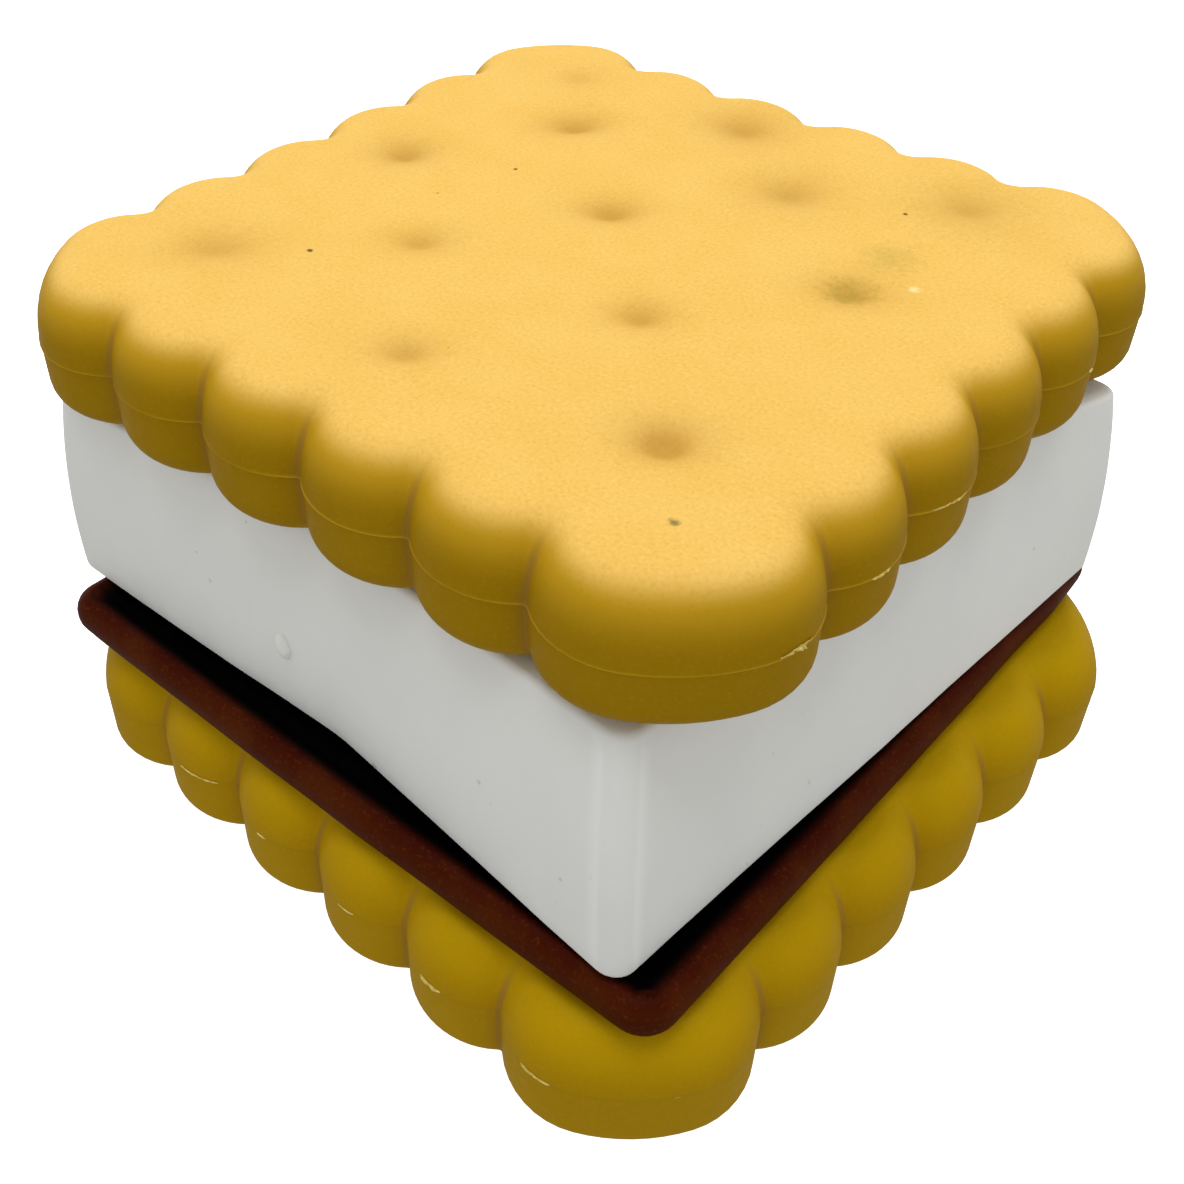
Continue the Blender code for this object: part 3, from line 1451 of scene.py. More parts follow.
    def _press(self, bm: bmesh.types.BMesh) -> None:
        """Sink the dimples and let the face swell a little.

        Args:
            bm: the cracker's mesh.
        """
        for v in bm.verts:
            weight = smooth_step(self.thick - self.face_drop, self.thick,
                                 v.co.z)
            if weight <= 0.0:
                continue
            drop = sum(d.drop(v.co) for d in self.dimples)
            swell = rumple(v.co, self.swell_size, self.seed) - self.settled
            swell += self.fine_share * rumple(v.co, self.fine_size,
                                              self.seed + 9.0)
            v.co.z += weight * (self.rumple * swell - drop)

    def _bend(self, bm: bmesh.types.BMesh) -> None:
        """Lift the -X side of the underside a little, as it is warped.

        Args:
            bm: the cracker's mesh.
        """
        if not self.warp:
            return
        for v in bm.verts:
            side = smooth_step(*self.warp_span, v.co.x)
            v.co.z += self.warp * side * (1 - v.co.z / self.thick)

    def trim(self) -> bpy.types.Object:
        """Model the shreds of flash along the parting line.

        Returns:
            The finished object.
        """
        bm = bmesh.new()
        lobes = self.outline.lobes()
        level = self.thick - self.parting
        for number, shred in enumerate(self.shreds):
            lobe = lobes[shred.lobe]
            self._shred(bm, lobe, shred, level, number + self.seed)
        return make_object(bm, self.flash_name, self.place(), sharp=80.0)

    def _shred(self, bm: bmesh.types.BMesh, lobe: Lobe, shred: Shred,
               level: float, seed: float) -> None:
        """One shred: a flat ragged ribbon drawn round the lobe.

        Args:
            bm: the mesh it is added to.
            lobe: the lobe it grows on.
            shred: its sizes.
            level: height of the parting line.
            seed: shifts its raggedness.
        """
        ring = bmesh.ops.create_circle(bm, cap_ends=True, segments=6,
                                       radius=1.0)["verts"]
        rest = {v: v.co.copy() for v in ring}
        steps = max(6, int(abs(shred.end - shred.start) / 2))
        loop = list(ring)
        face = loop[0].link_faces[0]
        shape = [rest[v] for v in face.verts]
        for i in range(steps + 1):
            t = i / steps
            angle = radians(shred.start + (shred.end - shred.start) * t)
            out = Vector((cos(angle), sin(angle), 0.0))
            width = shred.stands_out(t, steps, seed) + self.shred_root
            away = lobe.radius - self.shred_root + width / 2
            middle = (lobe.centre.to_3d() + out * away) * self.scale
            middle.z = level + shred.lift + shred.curl * t * (1 - t) * 2
            for v, flat in zip(face.verts, shape):
                v.co = (middle + out * flat.x * width / 2
                        + Vector((0, 0, flat.y * shred.thick / 2
                                  + shred.curl * 0.3 * flat.x)))
            if i < steps:
                made = bmesh.ops.extrude_face_region(bm, geom=[face])
                bm.faces.ensure_lookup_table()
                if i > 0:
                    bmesh.ops.delete(bm, geom=[face],
                                     context="FACES_ONLY")
                face = [g for g in made["geom"]
                        if isinstance(g, bmesh.types.BMFace)][0]


# ---------------------------------------------------------------------------
# the filling
# ---------------------------------------------------------------------------

@dataclass
class Block:
    """A cushion-cornered block that the fillings are cut from.

    Attributes:
        half_x: half its length along X.
        half_y: half its length along Y.
        height: its height.
        corner: rounding of its upright edges.
        rim_low: rounding of its lower edges.
        rim_high: rounding of its upper edges.
        grid: size of the squares that it is cut into.
        edge_grid: the same near its sides.
        edge_band: how far in from its sides that reaches.
        corner_steps: facets round an upright edge.
        rim_steps: facets round the other edges.
    """

    half_x: float
    half_y: float
    height: float
    corner: float
    rim_low: float
    rim_high: float
    grid: float
    edge_grid: float
    edge_band: float = 0.0
    corner_steps: int = 8
    rim_steps: int = 6

    def _cuts(self, half: float) -> list[float]:
        """Where the planes cut one side, closer together near its ends.

        Args:
            half: half the side's length.

        Returns:
            The places along the side.
        """
        inner = half - max(self.edge_band, self.corner + self.edge_grid)
        outer = half - self.corner
        close = even_places(inner, outer, self.edge_grid) + [inner]
        return (even_places(-inner, inner, self.grid) + close
                + [-place for place in close])

    def cut(self) -> bmesh.types.BMesh:
        """Model the block on z = 0, cut into small squares.

        Returns:
            The mesh.
        """
        bm = bmesh.new()
        bmesh.ops.create_cube(bm, size=1.0)
        bmesh.ops.scale(bm, verts=bm.verts,
                        vec=(2 * self.half_x, 2 * self.half_y, self.height))
        bmesh.ops.translate(bm, verts=bm.verts, vec=(0, 0, self.height / 2))
        upright = [e for e in bm.edges
                   if abs(e.verts[0].co.z - e.verts[1].co.z)
                   > self.height / 2]
        round_edges(bm, upright, self.corner, self.corner_steps)
        round_edges(bm, edges_at(bm, 0.0), self.rim_low, self.rim_steps)
        round_edges(bm, edges_at(bm, self.height), self.rim_high,
                    self.rim_steps)
        for axis, places in (
                (0, self._cuts(self.half_x)), (1, self._cuts(self.half_y)),
                (2, even_places(self.rim_low, self.height - self.rim_high,
                                self.grid))):
            slice_part(bm, whole(bm), axis, places)
        return bm

    def depth_in(self, x: float, y: float) -> float:
        """How far inside the block's outline a point lies.

        Args:
            x: place along X.
            y: place along Y.

        Returns:
            The distance to the outline, below 0 outside it.
        """
        over_x = abs(x) - (self.half_x - self.corner)
        over_y = abs(y) - (self.half_y - self.corner)
        if over_x > 0 and over_y > 0:
            return self.corner - hypot(over_x, over_y)
        return min(self.half_x - abs(x), self.half_y - abs(y))


@dataclass
class Marshmallow:
    """The white block, its foot drawn in along the -Y side.

    The tops of its -Y and +X sides lean in under the cracker.

    Attributes:
        name: name of the block.
        centre: where its middle stands.
        floor: height of its underside.
        turn: its turn about the vertical.
        height: its height.
        half_x: half its length along X.
        half_y: half its length along Y.
        corner: rounding of its upright edges.
        rim_low: rounding of its lower edges.
        rim_high: rounding of its upper edges.
        swell: how far its waist stands out.
        flare: how much further out its foot lies than its top.
        bow: how far the -Y side's foot is drawn in.
        bow_at: place along X where it is drawn in most.
        bow_round: how softly it turns there.
        bow_left: length of the draw on the -X side.
        bow_left_power: how fast the draw fades there.
        bow_right: length of the draw on the +X side.
        bow_right_power: how fast the draw fades there.
        bow_stays: what is left of the draw on the +X side.
        lean: how far the +X side's top moves along X and the -Y side's
            top along Y.
        lean_x_fade: the +X side's lean starts and is full at these
            places along Y, of half the length.
        lean_y_fade: the -Y side's lean starts and is full at these
            places along X, of half the length.
        swells: height and size of the large swells of its sides.
        ripples: height and size of the small ones.
        swell_span: the swells start and are full at these places, of
            half the length.
        welt: how far the two thin welts stand out.
        grid: size of the squares that it is cut into.
        seed: shifts the unevenness.
    """

    name: str = "marshmallow_block"
    centre: tuple[float, float] = (-1.537 * MM, -0.218 * MM)
    floor: float = 16.6 * MM
    turn: float = radians(-5.0)
    height: float = 19.8 * MM
    half_x: float = 34.2 * MM
    half_y: float = 34.5 * MM
    corner: float = 2.1 * MM
    rim_low: float = 0.6 * MM
    rim_high: float = 0.5 * MM
    swell: float = 0.5 * MM
    flare: float = 1.2 * MM
    bow: float = 2.9 * MM
    bow_at: float = 2.0 * MM
    bow_round: float = 1.2 * MM
    bow_left: float = 36.0 * MM
    bow_left_power: float = 1.2
    bow_right: float = 34.0 * MM
    bow_right_power: float = 1.3
    bow_stays: float = 1.1 * MM
    lean: tuple[float, float] = (-2.75 * MM, 3.87 * MM)
    lean_x_fade: tuple[float, float] = (1.12, 0.6)
    lean_y_fade: tuple[float, float] = (-1.05, 0.1)
    swells: tuple[float, float] = (0.10 * MM, 14.0 * MM)
    ripples: tuple[float, float] = (0.03 * MM, 4.0 * MM)
    swell_span: tuple[float, float] = (0.7, 0.98)
    welt: float = 0.05 * MM
    grid: float = 1.1 * MM
    seed: float = 4.0

    def drawn_in(self, x: float) -> float:
        """How far the foot of the -Y side is drawn in.

        Args:
            x: place along the side.

        Returns:
            The distance in metres.
        """
        away = (sqrt((x - self.bow_at) ** 2 + self.bow_round ** 2)
                - self.bow_round)
        if x < self.bow_at:
            left = max(0.0, 1 - away / self.bow_left)
            return self.bow * left ** self.bow_left_power
        right = max(0.0, 1 - away / self.bow_right)
        return (self.bow_stays + (self.bow - self.bow_stays)
                * right ** self.bow_right_power)

    def build(self) -> bpy.types.Object:
        """Model the block.

        Returns:
            The finished object.
        """
        bm = Block(self.half_x, self.half_y, self.height, self.corner,
                   self.rim_low, self.rim_high, self.grid, self.grid).cut()
        # The welt mark also carries the finish's painted highlight.
        layer = bm.verts.layers.float.new("welt")
        for v in bm.verts:
            out = self._welt_out(v.co)
            v[layer] = out.length
            self._shape(v)
            v.co += out * self.welt
        return make_object(bm, self.name, standing(
            (*self.centre, self.floor), self.turn))

    def _welt_out(self, spot: Vector) -> Vector:
        """Which way the thin welts beside the nearest edge stand out.

        Args:
            spot: a place on the plain block.

        Returns:
            The way out, or nothing away from the two welts.
        """
        near = 0.01 * MM
        if not self.rim_low < spot.z < self.height - self.rim_high:
            return Vector()
        if (abs(spot.y + self.half_y) < near
                and abs(spot.x - self.half_x + self.corner) < near):
            return Vector((0.0, -1.0, 0.0))
        if (abs(spot.x - self.half_x) < near
                and abs(spot.y + self.half_y - self.corner) < near):
            return Vector((1.0, 0.0, 0.0))
        return Vector()

    def _shape(self, v: bmesh.types.BMVert) -> None:
        """Move one vertex from the plain block to the real form.

        Args:
            v: the vertex.
        """
        x, y = v.co.x / self.half_x, v.co.y / self.half_y
        t = v.co.z / self.height
        grow = (self.swell * 4 * t * (1 - t)
                - self.flare * (t - 0.5)) / self.half_x
        uneven = unevenness(v.co, self.seed, self.swells, self.ripples)
        reach = hypot(v.co.x, v.co.y) or 1.0
        drawn = self.drawn_in(v.co.x)
        beside = smooth_step(*self.swell_span, max(abs(x), abs(y)))
        push = uneven * beside / reach
        v.co.x *= 1 + grow + push
        v.co.y *= 1 + grow + push
        if y < 0:
            v.co.y += drawn * (1 - t) ** 2 * min(1.0, y * y)
        v.co.x += (self.lean[0] * t * (1 + x) / 2
                   * smooth_step(*self.lean_x_fade, y))
        v.co.y += (self.lean[1] * t * (1 - y) / 2
                   * smooth_step(*self.lean_y_fade, x))


@dataclass
class Bump:
    """A small moulding blister on the marshmallow's side.

    Attributes:
        name: name of the blister.
        spot: its middle.
        size: half its length along each of its own axes.
        turn: its turn about the vertical.
        tilt: its turn about its own Y axis.
        uneven: how uneven it is.
        uneven_size: size of one swell.
    """

    name: str = "marshmallow_blister"
    spot: tuple[float, float, float] = (-8.60 * MM, -32.55 * MM, 24.1 * MM)
    size: tuple[float, float, float] = (0.78 * MM, 0.66 * MM, 1.30 * MM)
    turn: float = radians(-5.0)
    tilt: float = radians(-14.0)
    uneven: float = 0.12 * MM
    uneven_size: float = 0.8 * MM

    def build(self) -> bpy.types.Object:
        """Model the blister as an oval bead.

        Returns:
            The finished object.
        """
        bm = bmesh.new()
        bmesh.ops.create_icosphere(bm, subdivisions=4, radius=1.0)
        bmesh.ops.scale(bm, verts=bm.verts, vec=self.size)
        for v in bm.verts:
            v.co.x += self.uneven * rumple(v.co, self.uneven_size, 2.0)
        place = (standing(self.spot, self.turn)
                 @ Matrix.Rotation(self.tilt, 4, "Y"))
        return make_object(bm, self.name, place)


@dataclass
class ChocolateSlab:
    """The thin brown slab: a tube-like rim round a sunken groove.

    Attributes:
        name: name of the slab.
        centre: where its middle stands.
        floor: height of its underside.
        turn: its turn about the vertical.
        height: its height.
        half_x: half its length along X.
        half_y: half its length along Y.
        corner: rounding of its upright edges.
        rim: rounding of its lower and upper edges.
        bow: how far the -Y side bows out.
        tuck: how far the corner at +X and +Y is drawn in along X.
        tuck_span: the draw starts and is full at these places along Y,
            of half the length.
        groove: how deep the groove is.
        groove_from: distance from the side where the groove starts.
        groove_falls: width of its slope beside the rim.
        groove_to: distance from the side where it ends.
        groove_rises: width of its slope beside the middle.
        swells: height and size of the large swells of its rim.
        ripples: height and size of the small ones.
        swell_depth: the swells start and are full at these distances
            from the side.
        swell_lift: how much of the swells lifts the rim.
        mark_depth: the mark for its painted shade starts and is full at these
            distances from the side.
        grid: size of the squares that it is cut into.
        edge_grid: the same near its sides.
        seed: shifts the unevenness.
    """

    name: str = "chocolate_slab"
    centre: tuple[float, float] = (-0.437 * MM, -0.618 * MM)
    floor: float = 12.55 * MM
    turn: float = radians(-1.5)
    height: float = 3.7 * MM
    half_x: float = 35.45 * MM
    half_y: float = 36.4 * MM
    corner: float = 3.0 * MM
    rim: float = 1.7 * MM
    bow: float = 0.25 * MM
    tuck: float = 0.4 * MM
    tuck_span: tuple[float, float] = (0.72, 1.0)
    groove: float = 1.4 * MM
    groove_from: float = 2.3 * MM
    groove_falls: float = 1.3 * MM
    groove_to: float = 8.5 * MM
    groove_rises: float = 1.5 * MM
    swells: tuple[float, float] = (0.12 * MM, 10.0 * MM)
    ripples: tuple[float, float] = (0.05 * MM, 3.0 * MM)
    swell_depth: tuple[float, float] = (5.0 * MM, 1.0 * MM)
    swell_lift: float = 0.4
    mark_depth: tuple[float, float] = (-0.6 * MM, 3.2 * MM)
    grid: float = 3.0 * MM
    edge_grid: float = 0.4 * MM
    seed: float = 7.0

    def build(self) -> bpy.types.Object:
        """Model the slab.

        Returns:
            The finished object.
        """
        block = Block(self.half_x, self.half_y, self.height, self.corner,
                      self.rim, self.rim, self.grid, self.edge_grid,
                      self.groove_to + self.groove_rises, rim_steps=8)
        bm = block.cut()
        layer = bm.verts.layers.float.new("inward")
        for v in bm.verts:
            self._shape(v, block, layer)
        return make_object(bm, self.name, standing(
            (*self.centre, self.floor), self.turn))

    def _shape(self, v: bmesh.types.BMVert, block: Block,
               layer: object) -> None:
        """Move one vertex from the plain slab to the real form.

        Args:
            v: the vertex.
            block: the plain slab.
            layer: keeps how far in from the rim each vertex lies, for the
                painted shade.
        """
        x, y = v.co.x / self.half_x, v.co.y / self.half_y
        uneven = unevenness(v.co, self.seed, self.swells, self.ripples)
        depth = block.depth_in(v.co.x, v.co.y)
        edge = smooth_step(*self.swell_depth, depth)
        sunk = 0.0
        if v.co.z > self.height / 2:
            start, end = self.groove_from, self.groove_to
            sunk = (smooth_step(start, start + self.groove_falls, depth)
                    * smooth_step(end, end - self.groove_rises, depth))
            # Mark for the painted shade, darker inward and in the groove.
            v[layer] = smooth_step(*self.mark_depth, depth)
        v.co.z += self.swell_lift * uneven * edge - self.groove * sunk
        if y < 0:
            v.co.y -= self.bow * cos(x * pi / 2) * y * y
        if x > 0:
            v.co.x -= self.tuck * x * smooth_step(*self.tuck_span, y)
        if abs(y) > abs(x):
            v.co.y += (1 if y > 0 else -1) * uneven * edge
        else:
            v.co.x += (1 if x > 0 else -1) * uneven * edge


# ---------------------------------------------------------------------------
# the studio
# ---------------------------------------------------------------------------

@dataclass(frozen=True)
class Softbox:
    """A soft rectangular light that hangs over the table.

    Attributes:
        name: name of the light.
        spot: where it hangs.
        aim: the point that it faces.
        width: its width.
        depth: its depth.
        power: its power in watts.
        colour: its colour.
    """

    name: str
    spot: tuple[float, float, float]
    aim: tuple[float, float, float]
    width: float
    depth: float
    power: float
    colour: Colour = (1.0, 1.0, 1.0)

    def hang(self) -> bpy.types.Object:
        """Add the light.

        Returns:
            The light object.
        """
        lamp = bpy.data.lights.new(self.name, "AREA")
        lamp.shape = "RECTANGLE"
        lamp.size = self.width
        lamp.size_y = self.depth
        lamp.energy = self.power
        lamp.color = self.colour
        obj = bpy.data.objects.new(self.name, lamp)
        away = Vector(self.spot) - Vector(self.aim)
        obj.matrix_world = (Matrix.Translation(self.spot)
                            @ away.to_track_quat("Z", "Y").to_matrix()
                            .to_4x4())
        bpy.context.scene.collection.objects.link(obj)
        return obj


@dataclass
class Studio:
    """Table, lights, surroundings and camera.

    Attributes:
        azimuth: the camera's direction, from -Y towards +X.
        elevation: how far above the level it stands.
        roll: how far it is rolled.
        aim: the point that its distance is given from.
        distance: how far back from there it stands.
        aside: how far it is moved to its right.
        above: how far it is moved up in its picture.
        lens: focal length in millimetres.
        sensor: width of the sensor in millimetres.
        shift_x: sideways shift of the lens.
        shift_y: upward shift of the lens.
        nearest: nearest thing that it sees.
        furthest: furthest thing that it sees.
        nadir: strength of the light from straight below.
        horizon: strength of the light from all round.
        zenith: strength of the light from straight above.
        fade_end: how far up or down a direction points where the
            light has faded from the horizon's.
        boxes: the softboxes.
        floor: the table's finish.
        table_half: half the table's width.
    """

    azimuth: float = radians(38.8054)
    elevation: float = radians(40.3394)
    roll: float = radians(0.9819)
    aim: tuple[float, float, float] = (-4.137 * MM, 3.782 * MM, 49.0 * MM)
    distance: float = 123.5484 * MM
    aside: float = -4.4776 * MM
    above: float = -29.7523 * MM
    lens: float = 43.877
    sensor: float = 36.0
    shift_x: float = 0.03354
    shift_y: float = -0.00855
    nearest: float = 5.0 * MM
    furthest: float = 50.0
    nadir: float = 0.40
    horizon: float = 0.82
    zenith: float = 0.50
    fade_end: float = 0.8
    boxes: tuple[Softbox, ...] = (
        Softbox("overhead_softbox", (-0.05, 0.05, 0.50), (0.0, 0.0, 0.03),
                0.42, 0.42, 1.72),
    )
    floor: FloorFinish = FloorFinish()
    table_half: float = 3.0

    def set_up(self) -> None:
        """Build the whole studio."""
        self._table()
        self._surroundings()
        for box in self.boxes:
            box.hang()
        self._camera()
        view = bpy.context.scene.view_settings
        view.view_transform = "Standard"
        view.look = "None"
        view.exposure = 0.0
        view.gamma = 1.0

    def _table(self) -> None:
        """Lay the plain white table top."""
        bm = bmesh.new()
        bmesh.ops.create_grid(bm, x_segments=2, y_segments=2,
                              size=self.table_half)
        mesh = bpy.data.meshes.new("table")
        bm.to_mesh(mesh)
        bm.free()
        mesh.materials.append(self.floor.make())
        table = bpy.data.objects.new("table", mesh)
        table.visible_diffuse = False
        table.visible_glossy = False
        bpy.context.scene.collection.objects.link(table)

    def _surroundings(self) -> None:
        """Pale light from all round, brightest level with the table."""
        world = bpy.data.worlds.new("surroundings")
        world.use_nodes = True
        tree = world.node_tree
        back = tree.nodes["Background"]
        back.inputs["Color"].default_value = (1.0, 1.0, 1.0, 1.0)
        way = tree.nodes.new("ShaderNodeTexCoord")
        split = tree.nodes.new("ShaderNodeSeparateXYZ")
        tree.links.new(way.outputs["Generated"], split.inputs[0])
        levels = []
        for end, level in ((-self.fade_end, self.nadir),
                           (self.fade_end, self.zenith)):
            fade = tree.nodes.new("ShaderNodeMapRange")
            tree.links.new(split.outputs[2], fade.inputs["Value"])
            for name, number in (("From Min", 0.0), ("From Max", end),
                                 ("To Min", self.horizon),
                                 ("To Max", level)):
                fade.inputs[name].default_value = number
            levels.append(fade.outputs["Result"])
        dimmer = tree.nodes.new("ShaderNodeMath")
        dimmer.operation = "MINIMUM"
        for socket, level in zip(dimmer.inputs, levels):
            tree.links.new(level, socket)
        tree.links.new(dimmer.outputs[0], back.inputs["Strength"])
        bpy.context.scene.world = world

    def _camera(self) -> None:
        """Stand the camera close in front of the nearest corner."""
        a, e, r = self.azimuth, self.elevation, self.roll
        back = Vector((sin(a) * cos(e), -cos(a) * cos(e), sin(e)))
        level = Vector((cos(a), sin(a), 0.0))
        rise = back.cross(level)
        right = level * cos(r) + rise * sin(r)
        up = rise * cos(r) - level * sin(r)
        spot = (Vector(self.aim) + back * self.distance
                + right * self.aside + up * self.above)
        data = bpy.data.cameras.new("camera")
        data.sensor_fit = "HORIZONTAL"
        data.sensor_width = self.sensor
        data.lens = self.lens
        data.shift_x = self.shift_x
        data.shift_y = self.shift_y
        data.clip_start = self.nearest
        data.clip_end = self.furthest
        data.dof.use_dof = False
        camera = bpy.data.objects.new("camera", data)
        camera.matrix_world = Matrix.Translation(spot) @ Matrix(
            (right, up, back)).transposed().to_4x4()
        bpy.context.scene.collection.objects.link(camera)
        bpy.context.scene.camera = camera


# ---------------------------------------------------------------------------
# the toy
# ---------------------------------------------------------------------------

TOP_CENTRE = (-4.137 * MM, 3.782 * MM)
TOP_FACE = 49.0 * MM

UPPER_DIMPLES = (
    Dimple(-16.9 * MM, 17.1 * MM, 1.0 * MM, 2.2 * MM, 1.3, 1.0),
    Dimple(-25.0 * MM, 1.4 * MM, 1.0 * MM, 2.4 * MM),
    Dimple(-24.0 * MM, 26.5 * MM, 0.4 * MM),
    Dimple(-3.9 * MM, 27.5 * MM, 0.9 * MM, 3.4 * MM),
    Dimple(7.3 * MM, 18.2 * MM, 0.8 * MM, 3.2 * MM),
    Dimple(-23.8 * MM, -22.8 * MM, 0.7 * MM, 2.6 * MM, 1.3, 0.6),
    Dimple(-2.7 * MM, 4.3 * MM, 1.0 * MM, 2.0 * MM, 1.3, 0.7),
    Dimple(-11.5 * MM, -10.8 * MM, 0.8 * MM, 1.8 * MM, 1.3, 0.7),
    Dimple(21.2 * MM, 26.0 * MM, 0.7 * MM, 2.6 * MM),
    Dimple(20.9 * MM, 5.7 * MM, 0.9 * MM, 2.2 * MM, 1.2, 0.7),
    Dimple(10.3 * MM, -8.6 * MM, 0.9 * MM, 1.8 * MM, 1.2, 0.7),
    Dimple(-0.1 * MM, -24.5 * MM, 0.8 * MM, 1.7 * MM, 1.3, 0.7),
    Dimple(21.9 * MM, -21.3 * MM, 1.3 * MM, 2.1 * MM, 1.1, 0.7),
)


def staggered_dimples(middle: tuple[float, float], row_pitch: float,
                      pitch: float, depth: float) -> tuple[Dimple, ...]:
    """Five rows of dimples along Y, three and two by turns.

    Args:
        middle: middle of the rows, in millimetres.
        row_pitch: row to row, in millimetres.
        pitch: dimple to dimple, in millimetres.
        depth: how deep they are.

    Returns:
        The dimples.
    """
    made: list[Dimple] = []
    for row in range(-2, 3):
        count = 3 - row % 2
        for i in range(count):
            x = middle[0] + row * row_pitch
            y = middle[1] + (i - (count - 1) / 2) * pitch
            made.append(Dimple(x * MM, y * MM, depth))
    return tuple(made)


LOWER_DIMPLES = staggered_dimples((-1.7, 2.9), 11.4, 25.0, 0.5 * MM)

UPPER_SHREDS = (
    Shred(5, -21.0, 3.0, 0.30 * MM, 0.16 * MM, 0.1 * MM, 0.5 * MM),
    Shred(5, -11.0, -6.0, 0.55 * MM, 0.30 * MM, 0.2 * MM, 0.3 * MM),
    Shred(6, -17.0, -1.0, 0.25 * MM, 0.12 * MM),
    Shred(7, -27.0, 2.0, 0.28 * MM, 0.12 * MM, 0.0, 0.2 * MM),
    Shred(9, 2.0, 8.0, 0.25 * MM),
)

LOWER_SHREDS = (
    Shred(4, -98.0, -76.0, 0.18 * MM, 0.10 * MM),
    Shred(5, -50.0, -40.0, 0.12 * MM, 0.08 * MM),
    Shred(0, -92.0, -60.0, 0.12 * MM, 0.08 * MM),
    Shred(1, -91.0, -83.0, 0.12 * MM, 0.08 * MM),
    Shred(2, -93.0, -80.0, 0.12 * MM, 0.08 * MM),
    Shred(3, -101.0, -84.0, 0.28 * MM, 0.14 * MM),
)

UPPER_STAINS = (
    Stain(28.0, -28.7, 0.0, 0.1, 0.6, 0.8, (0.16, 0.15, 0.04)),
    Stain(20.9, 5.7, 0.0, 0.3, 3.2, 0.42, (0.30, 0.24, 0.03)),
    Stain(20.8, 12.3, 0.0, 0.2, 3.6, 0.26, (0.34, 0.26, 0.04)),
    Stain(21.5, 25.0, 0.0, 1.0, 10.0, 0.22, (0.55, 0.34, 0.06)),
    Stain(24.9, 9.1, 0.0, 0.1, 0.7, 0.6, (0.95, 0.80, 0.40)),
    Stain(-16.9, -18.4, 0.0, 0.10, 0.35, 0.9, (0.06, 0.04, 0.02)),
    Stain(-14.3, 5.0, 0.0, 0.08, 0.30, 0.9, (0.06, 0.04, 0.02)),
    Stain(-16.3, -3.4, 0.0, 0.06, 0.25, 0.7, (0.10, 0.06, 0.02)),
    Stain(17.6, 20.7, 0.0, 0.08, 0.30, 0.9, (0.06, 0.04, 0.02)),
    Stain(2.2, -22.1, 0.0, 0.06, 0.25, 0.7, (0.10, 0.06, 0.02)),
)

MALLOW_STAINS = (
    Stain(-13.6, -36.1, -23.0, 0.05, 0.28, 0.28, (0.22, 0.20, 0.18)),
    Stain(19.1, -38.3, -23.2, 0.05, 0.30, 0.30, (0.22, 0.20, 0.18)),
    Stain(28.0, -39.6, -26.0, 0.05, 0.28, 0.28, (0.22, 0.20, 0.18)),
    Stain(36.0, -18.1, -28.4, 0.05, 0.35, 0.35, (0.30, 0.28, 0.25)),
    Stain(34.7, -22.3, -22.7, 0.05, 0.35, 0.35, (0.30, 0.28, 0.25)),
    Stain(6.1, -37.0, -31.7, 0.05, 0.55, 0.7, (0.42, 0.33, 0.35)),
)


def placed_stains(stains: tuple[Stain, ...]) -> tuple[Stain, ...]:
    """Move stains given from the upper cracker's face to their place.

    Args:
        stains: stains in millimetres from the middle of the face.

    Returns:
        The same stains in metres in the frame.
    """
    return tuple(
        Stain(s.x * MM + TOP_CENTRE[0], s.y * MM + TOP_CENTRE[1],
              s.z * MM + TOP_FACE, s.inner * MM, s.outer * MM, s.strength,
              s.colour)
        for s in stains)


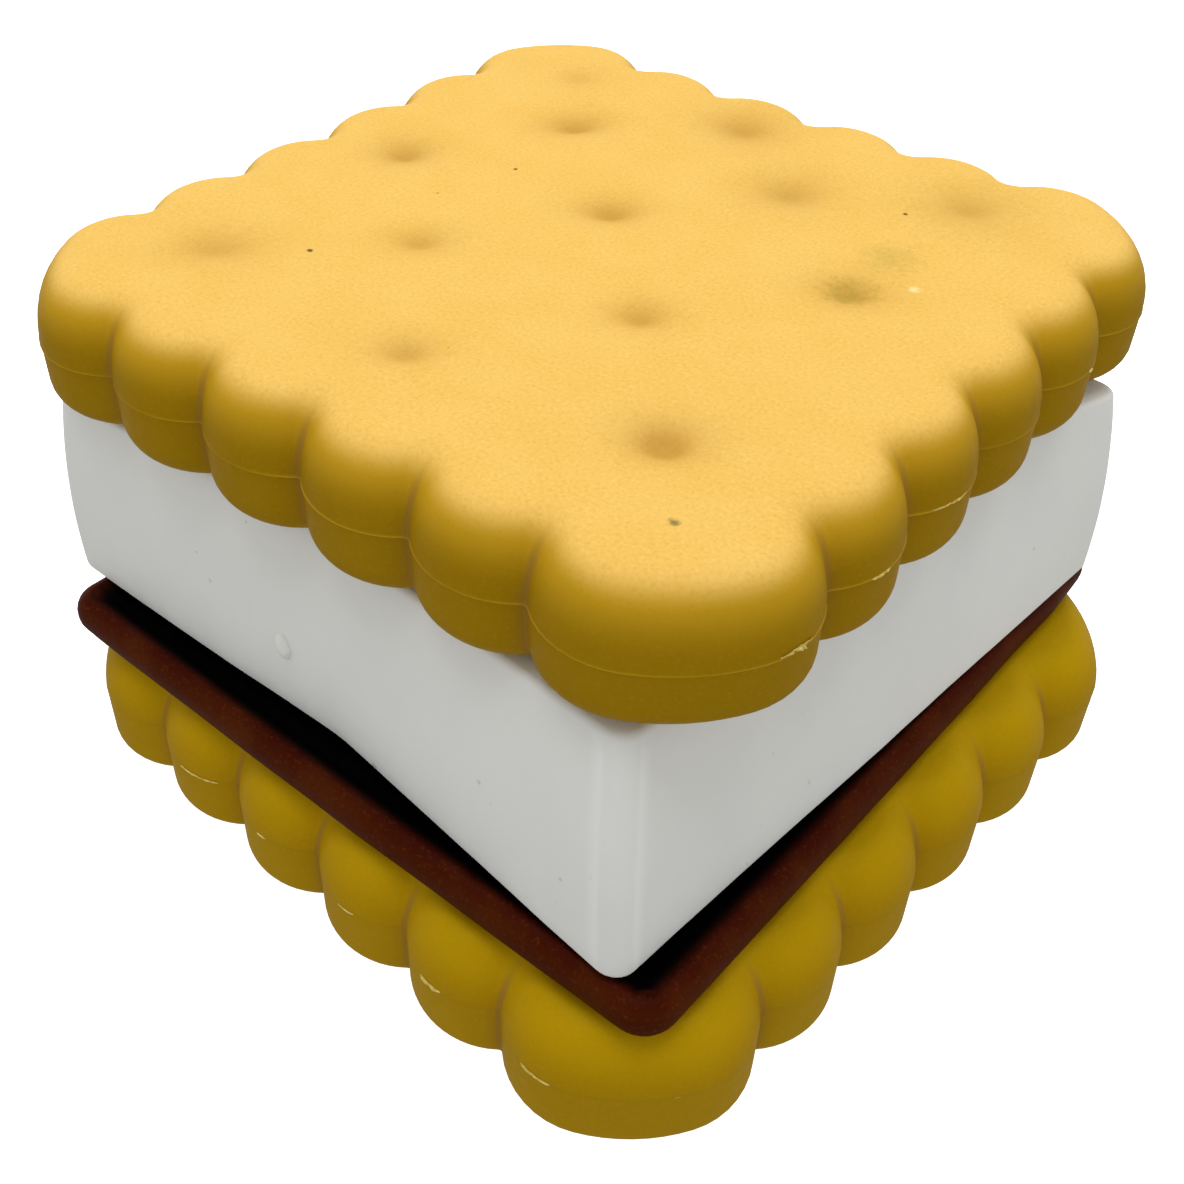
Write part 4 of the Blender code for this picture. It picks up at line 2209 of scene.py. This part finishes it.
@dataclass
class ToySmore:
    """The whole toy, one class for each of its pieces.

    Attributes:
        upper: the upper cracker.
        lower: the lower cracker, a little larger and turned.
        mallow: the marshmallow block.
        blister: the blister on its side.
        slab: the chocolate slab.
    """

    upper: Cracker = field(default_factory=lambda: Cracker(
        "upper_cracker", "upper_flash", TOP_CENTRE, 36.6 * MM,
        dimples=UPPER_DIMPLES, shreds=UPPER_SHREDS, seed=1.0,
        parting=6.0 * MM, back_round=3.1 * MM, back_corner=1.35))
    lower: Cracker = field(default_factory=lambda: Cracker(
        "lower_cracker", "lower_flash", (1.463 * MM, -1.118 * MM), 0.0,
        turn=radians(-4.15), scale=1.02, dimples=LOWER_DIMPLES,
        shreds=LOWER_SHREDS, seed=3.0, warp=0.5 * MM, grid=0.9 * MM,
        back_round=2.2 * MM, back_corner=1.0))
    mallow: Marshmallow = field(default_factory=Marshmallow)
    blister: Bump = field(default_factory=Bump)
    slab: ChocolateSlab = field(default_factory=ChocolateSlab)

    def build(self) -> None:
        """Build, dress and attach every piece."""
        upper_finish = BiscuitFinish(
            "upper_biscuit_rubber", stains=placed_stains(UPPER_STAINS)).make()
        # The lower cracker's colours are a differently lit copy of the upper
        # one's: painted less pale where it faces up and lighter on its walls.
        lower_finish = BiscuitFinish(
            "lower_biscuit_rubber", (0.49, 0.295, 0.001), (0.47, 0.275, 0.001),
            (0.41, 0.236, 0.001), pale=(0.56, 0.355, 0.006),
            pale_side=(0.50, 0.31, 0.003)).make()
        flash = FlashFinish().make()
        white = MallowFinish(stains=placed_stains(MALLOW_STAINS)).make()
        brown = ChocolateFinish().make()
        self._attach(self.upper.build(), upper_finish, "biscuit",
                     "cracker_top")
        self._attach(self.upper.trim(), flash, "biscuit")
        self._attach(self.lower.build(), lower_finish, "biscuit",
                     "cracker_bottom")
        self._attach(self.lower.trim(), flash, "biscuit")
        self._attach(self.mallow.build(), white, "marshmallow",
                     "marshmallow")
        self._attach(self.blister.build(), white, "marshmallow")
        self._attach(self.slab.build(), brown, "chocolate", "chocolate")

    @staticmethod
    def _attach(piece: bpy.types.Object, finish: bpy.types.Material,
                slot: str, node: str | None = None) -> None:
        """Give a piece its finish and fix it to the toy.

        Args:
            piece: the new piece.
            finish: its material.
            slot: the record's material slot that it belongs to; not used.
            node: the CAD node that it stands for, if any.
        """
        piece.data.materials.append(finish)
        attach(piece, "root")
        if node:
            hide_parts(node)
        LOG.info("%s: %d faces", piece.name, len(piece.data.polygons))


def main() -> None:
    """Set up the studio and build the toy."""
    logging.basicConfig(level=logging.INFO, format="%(name)s %(message)s")
    Studio().set_up()
    LOG.info("studio ready")
    ToySmore().build()


if __name__ == "__main__":
    main()
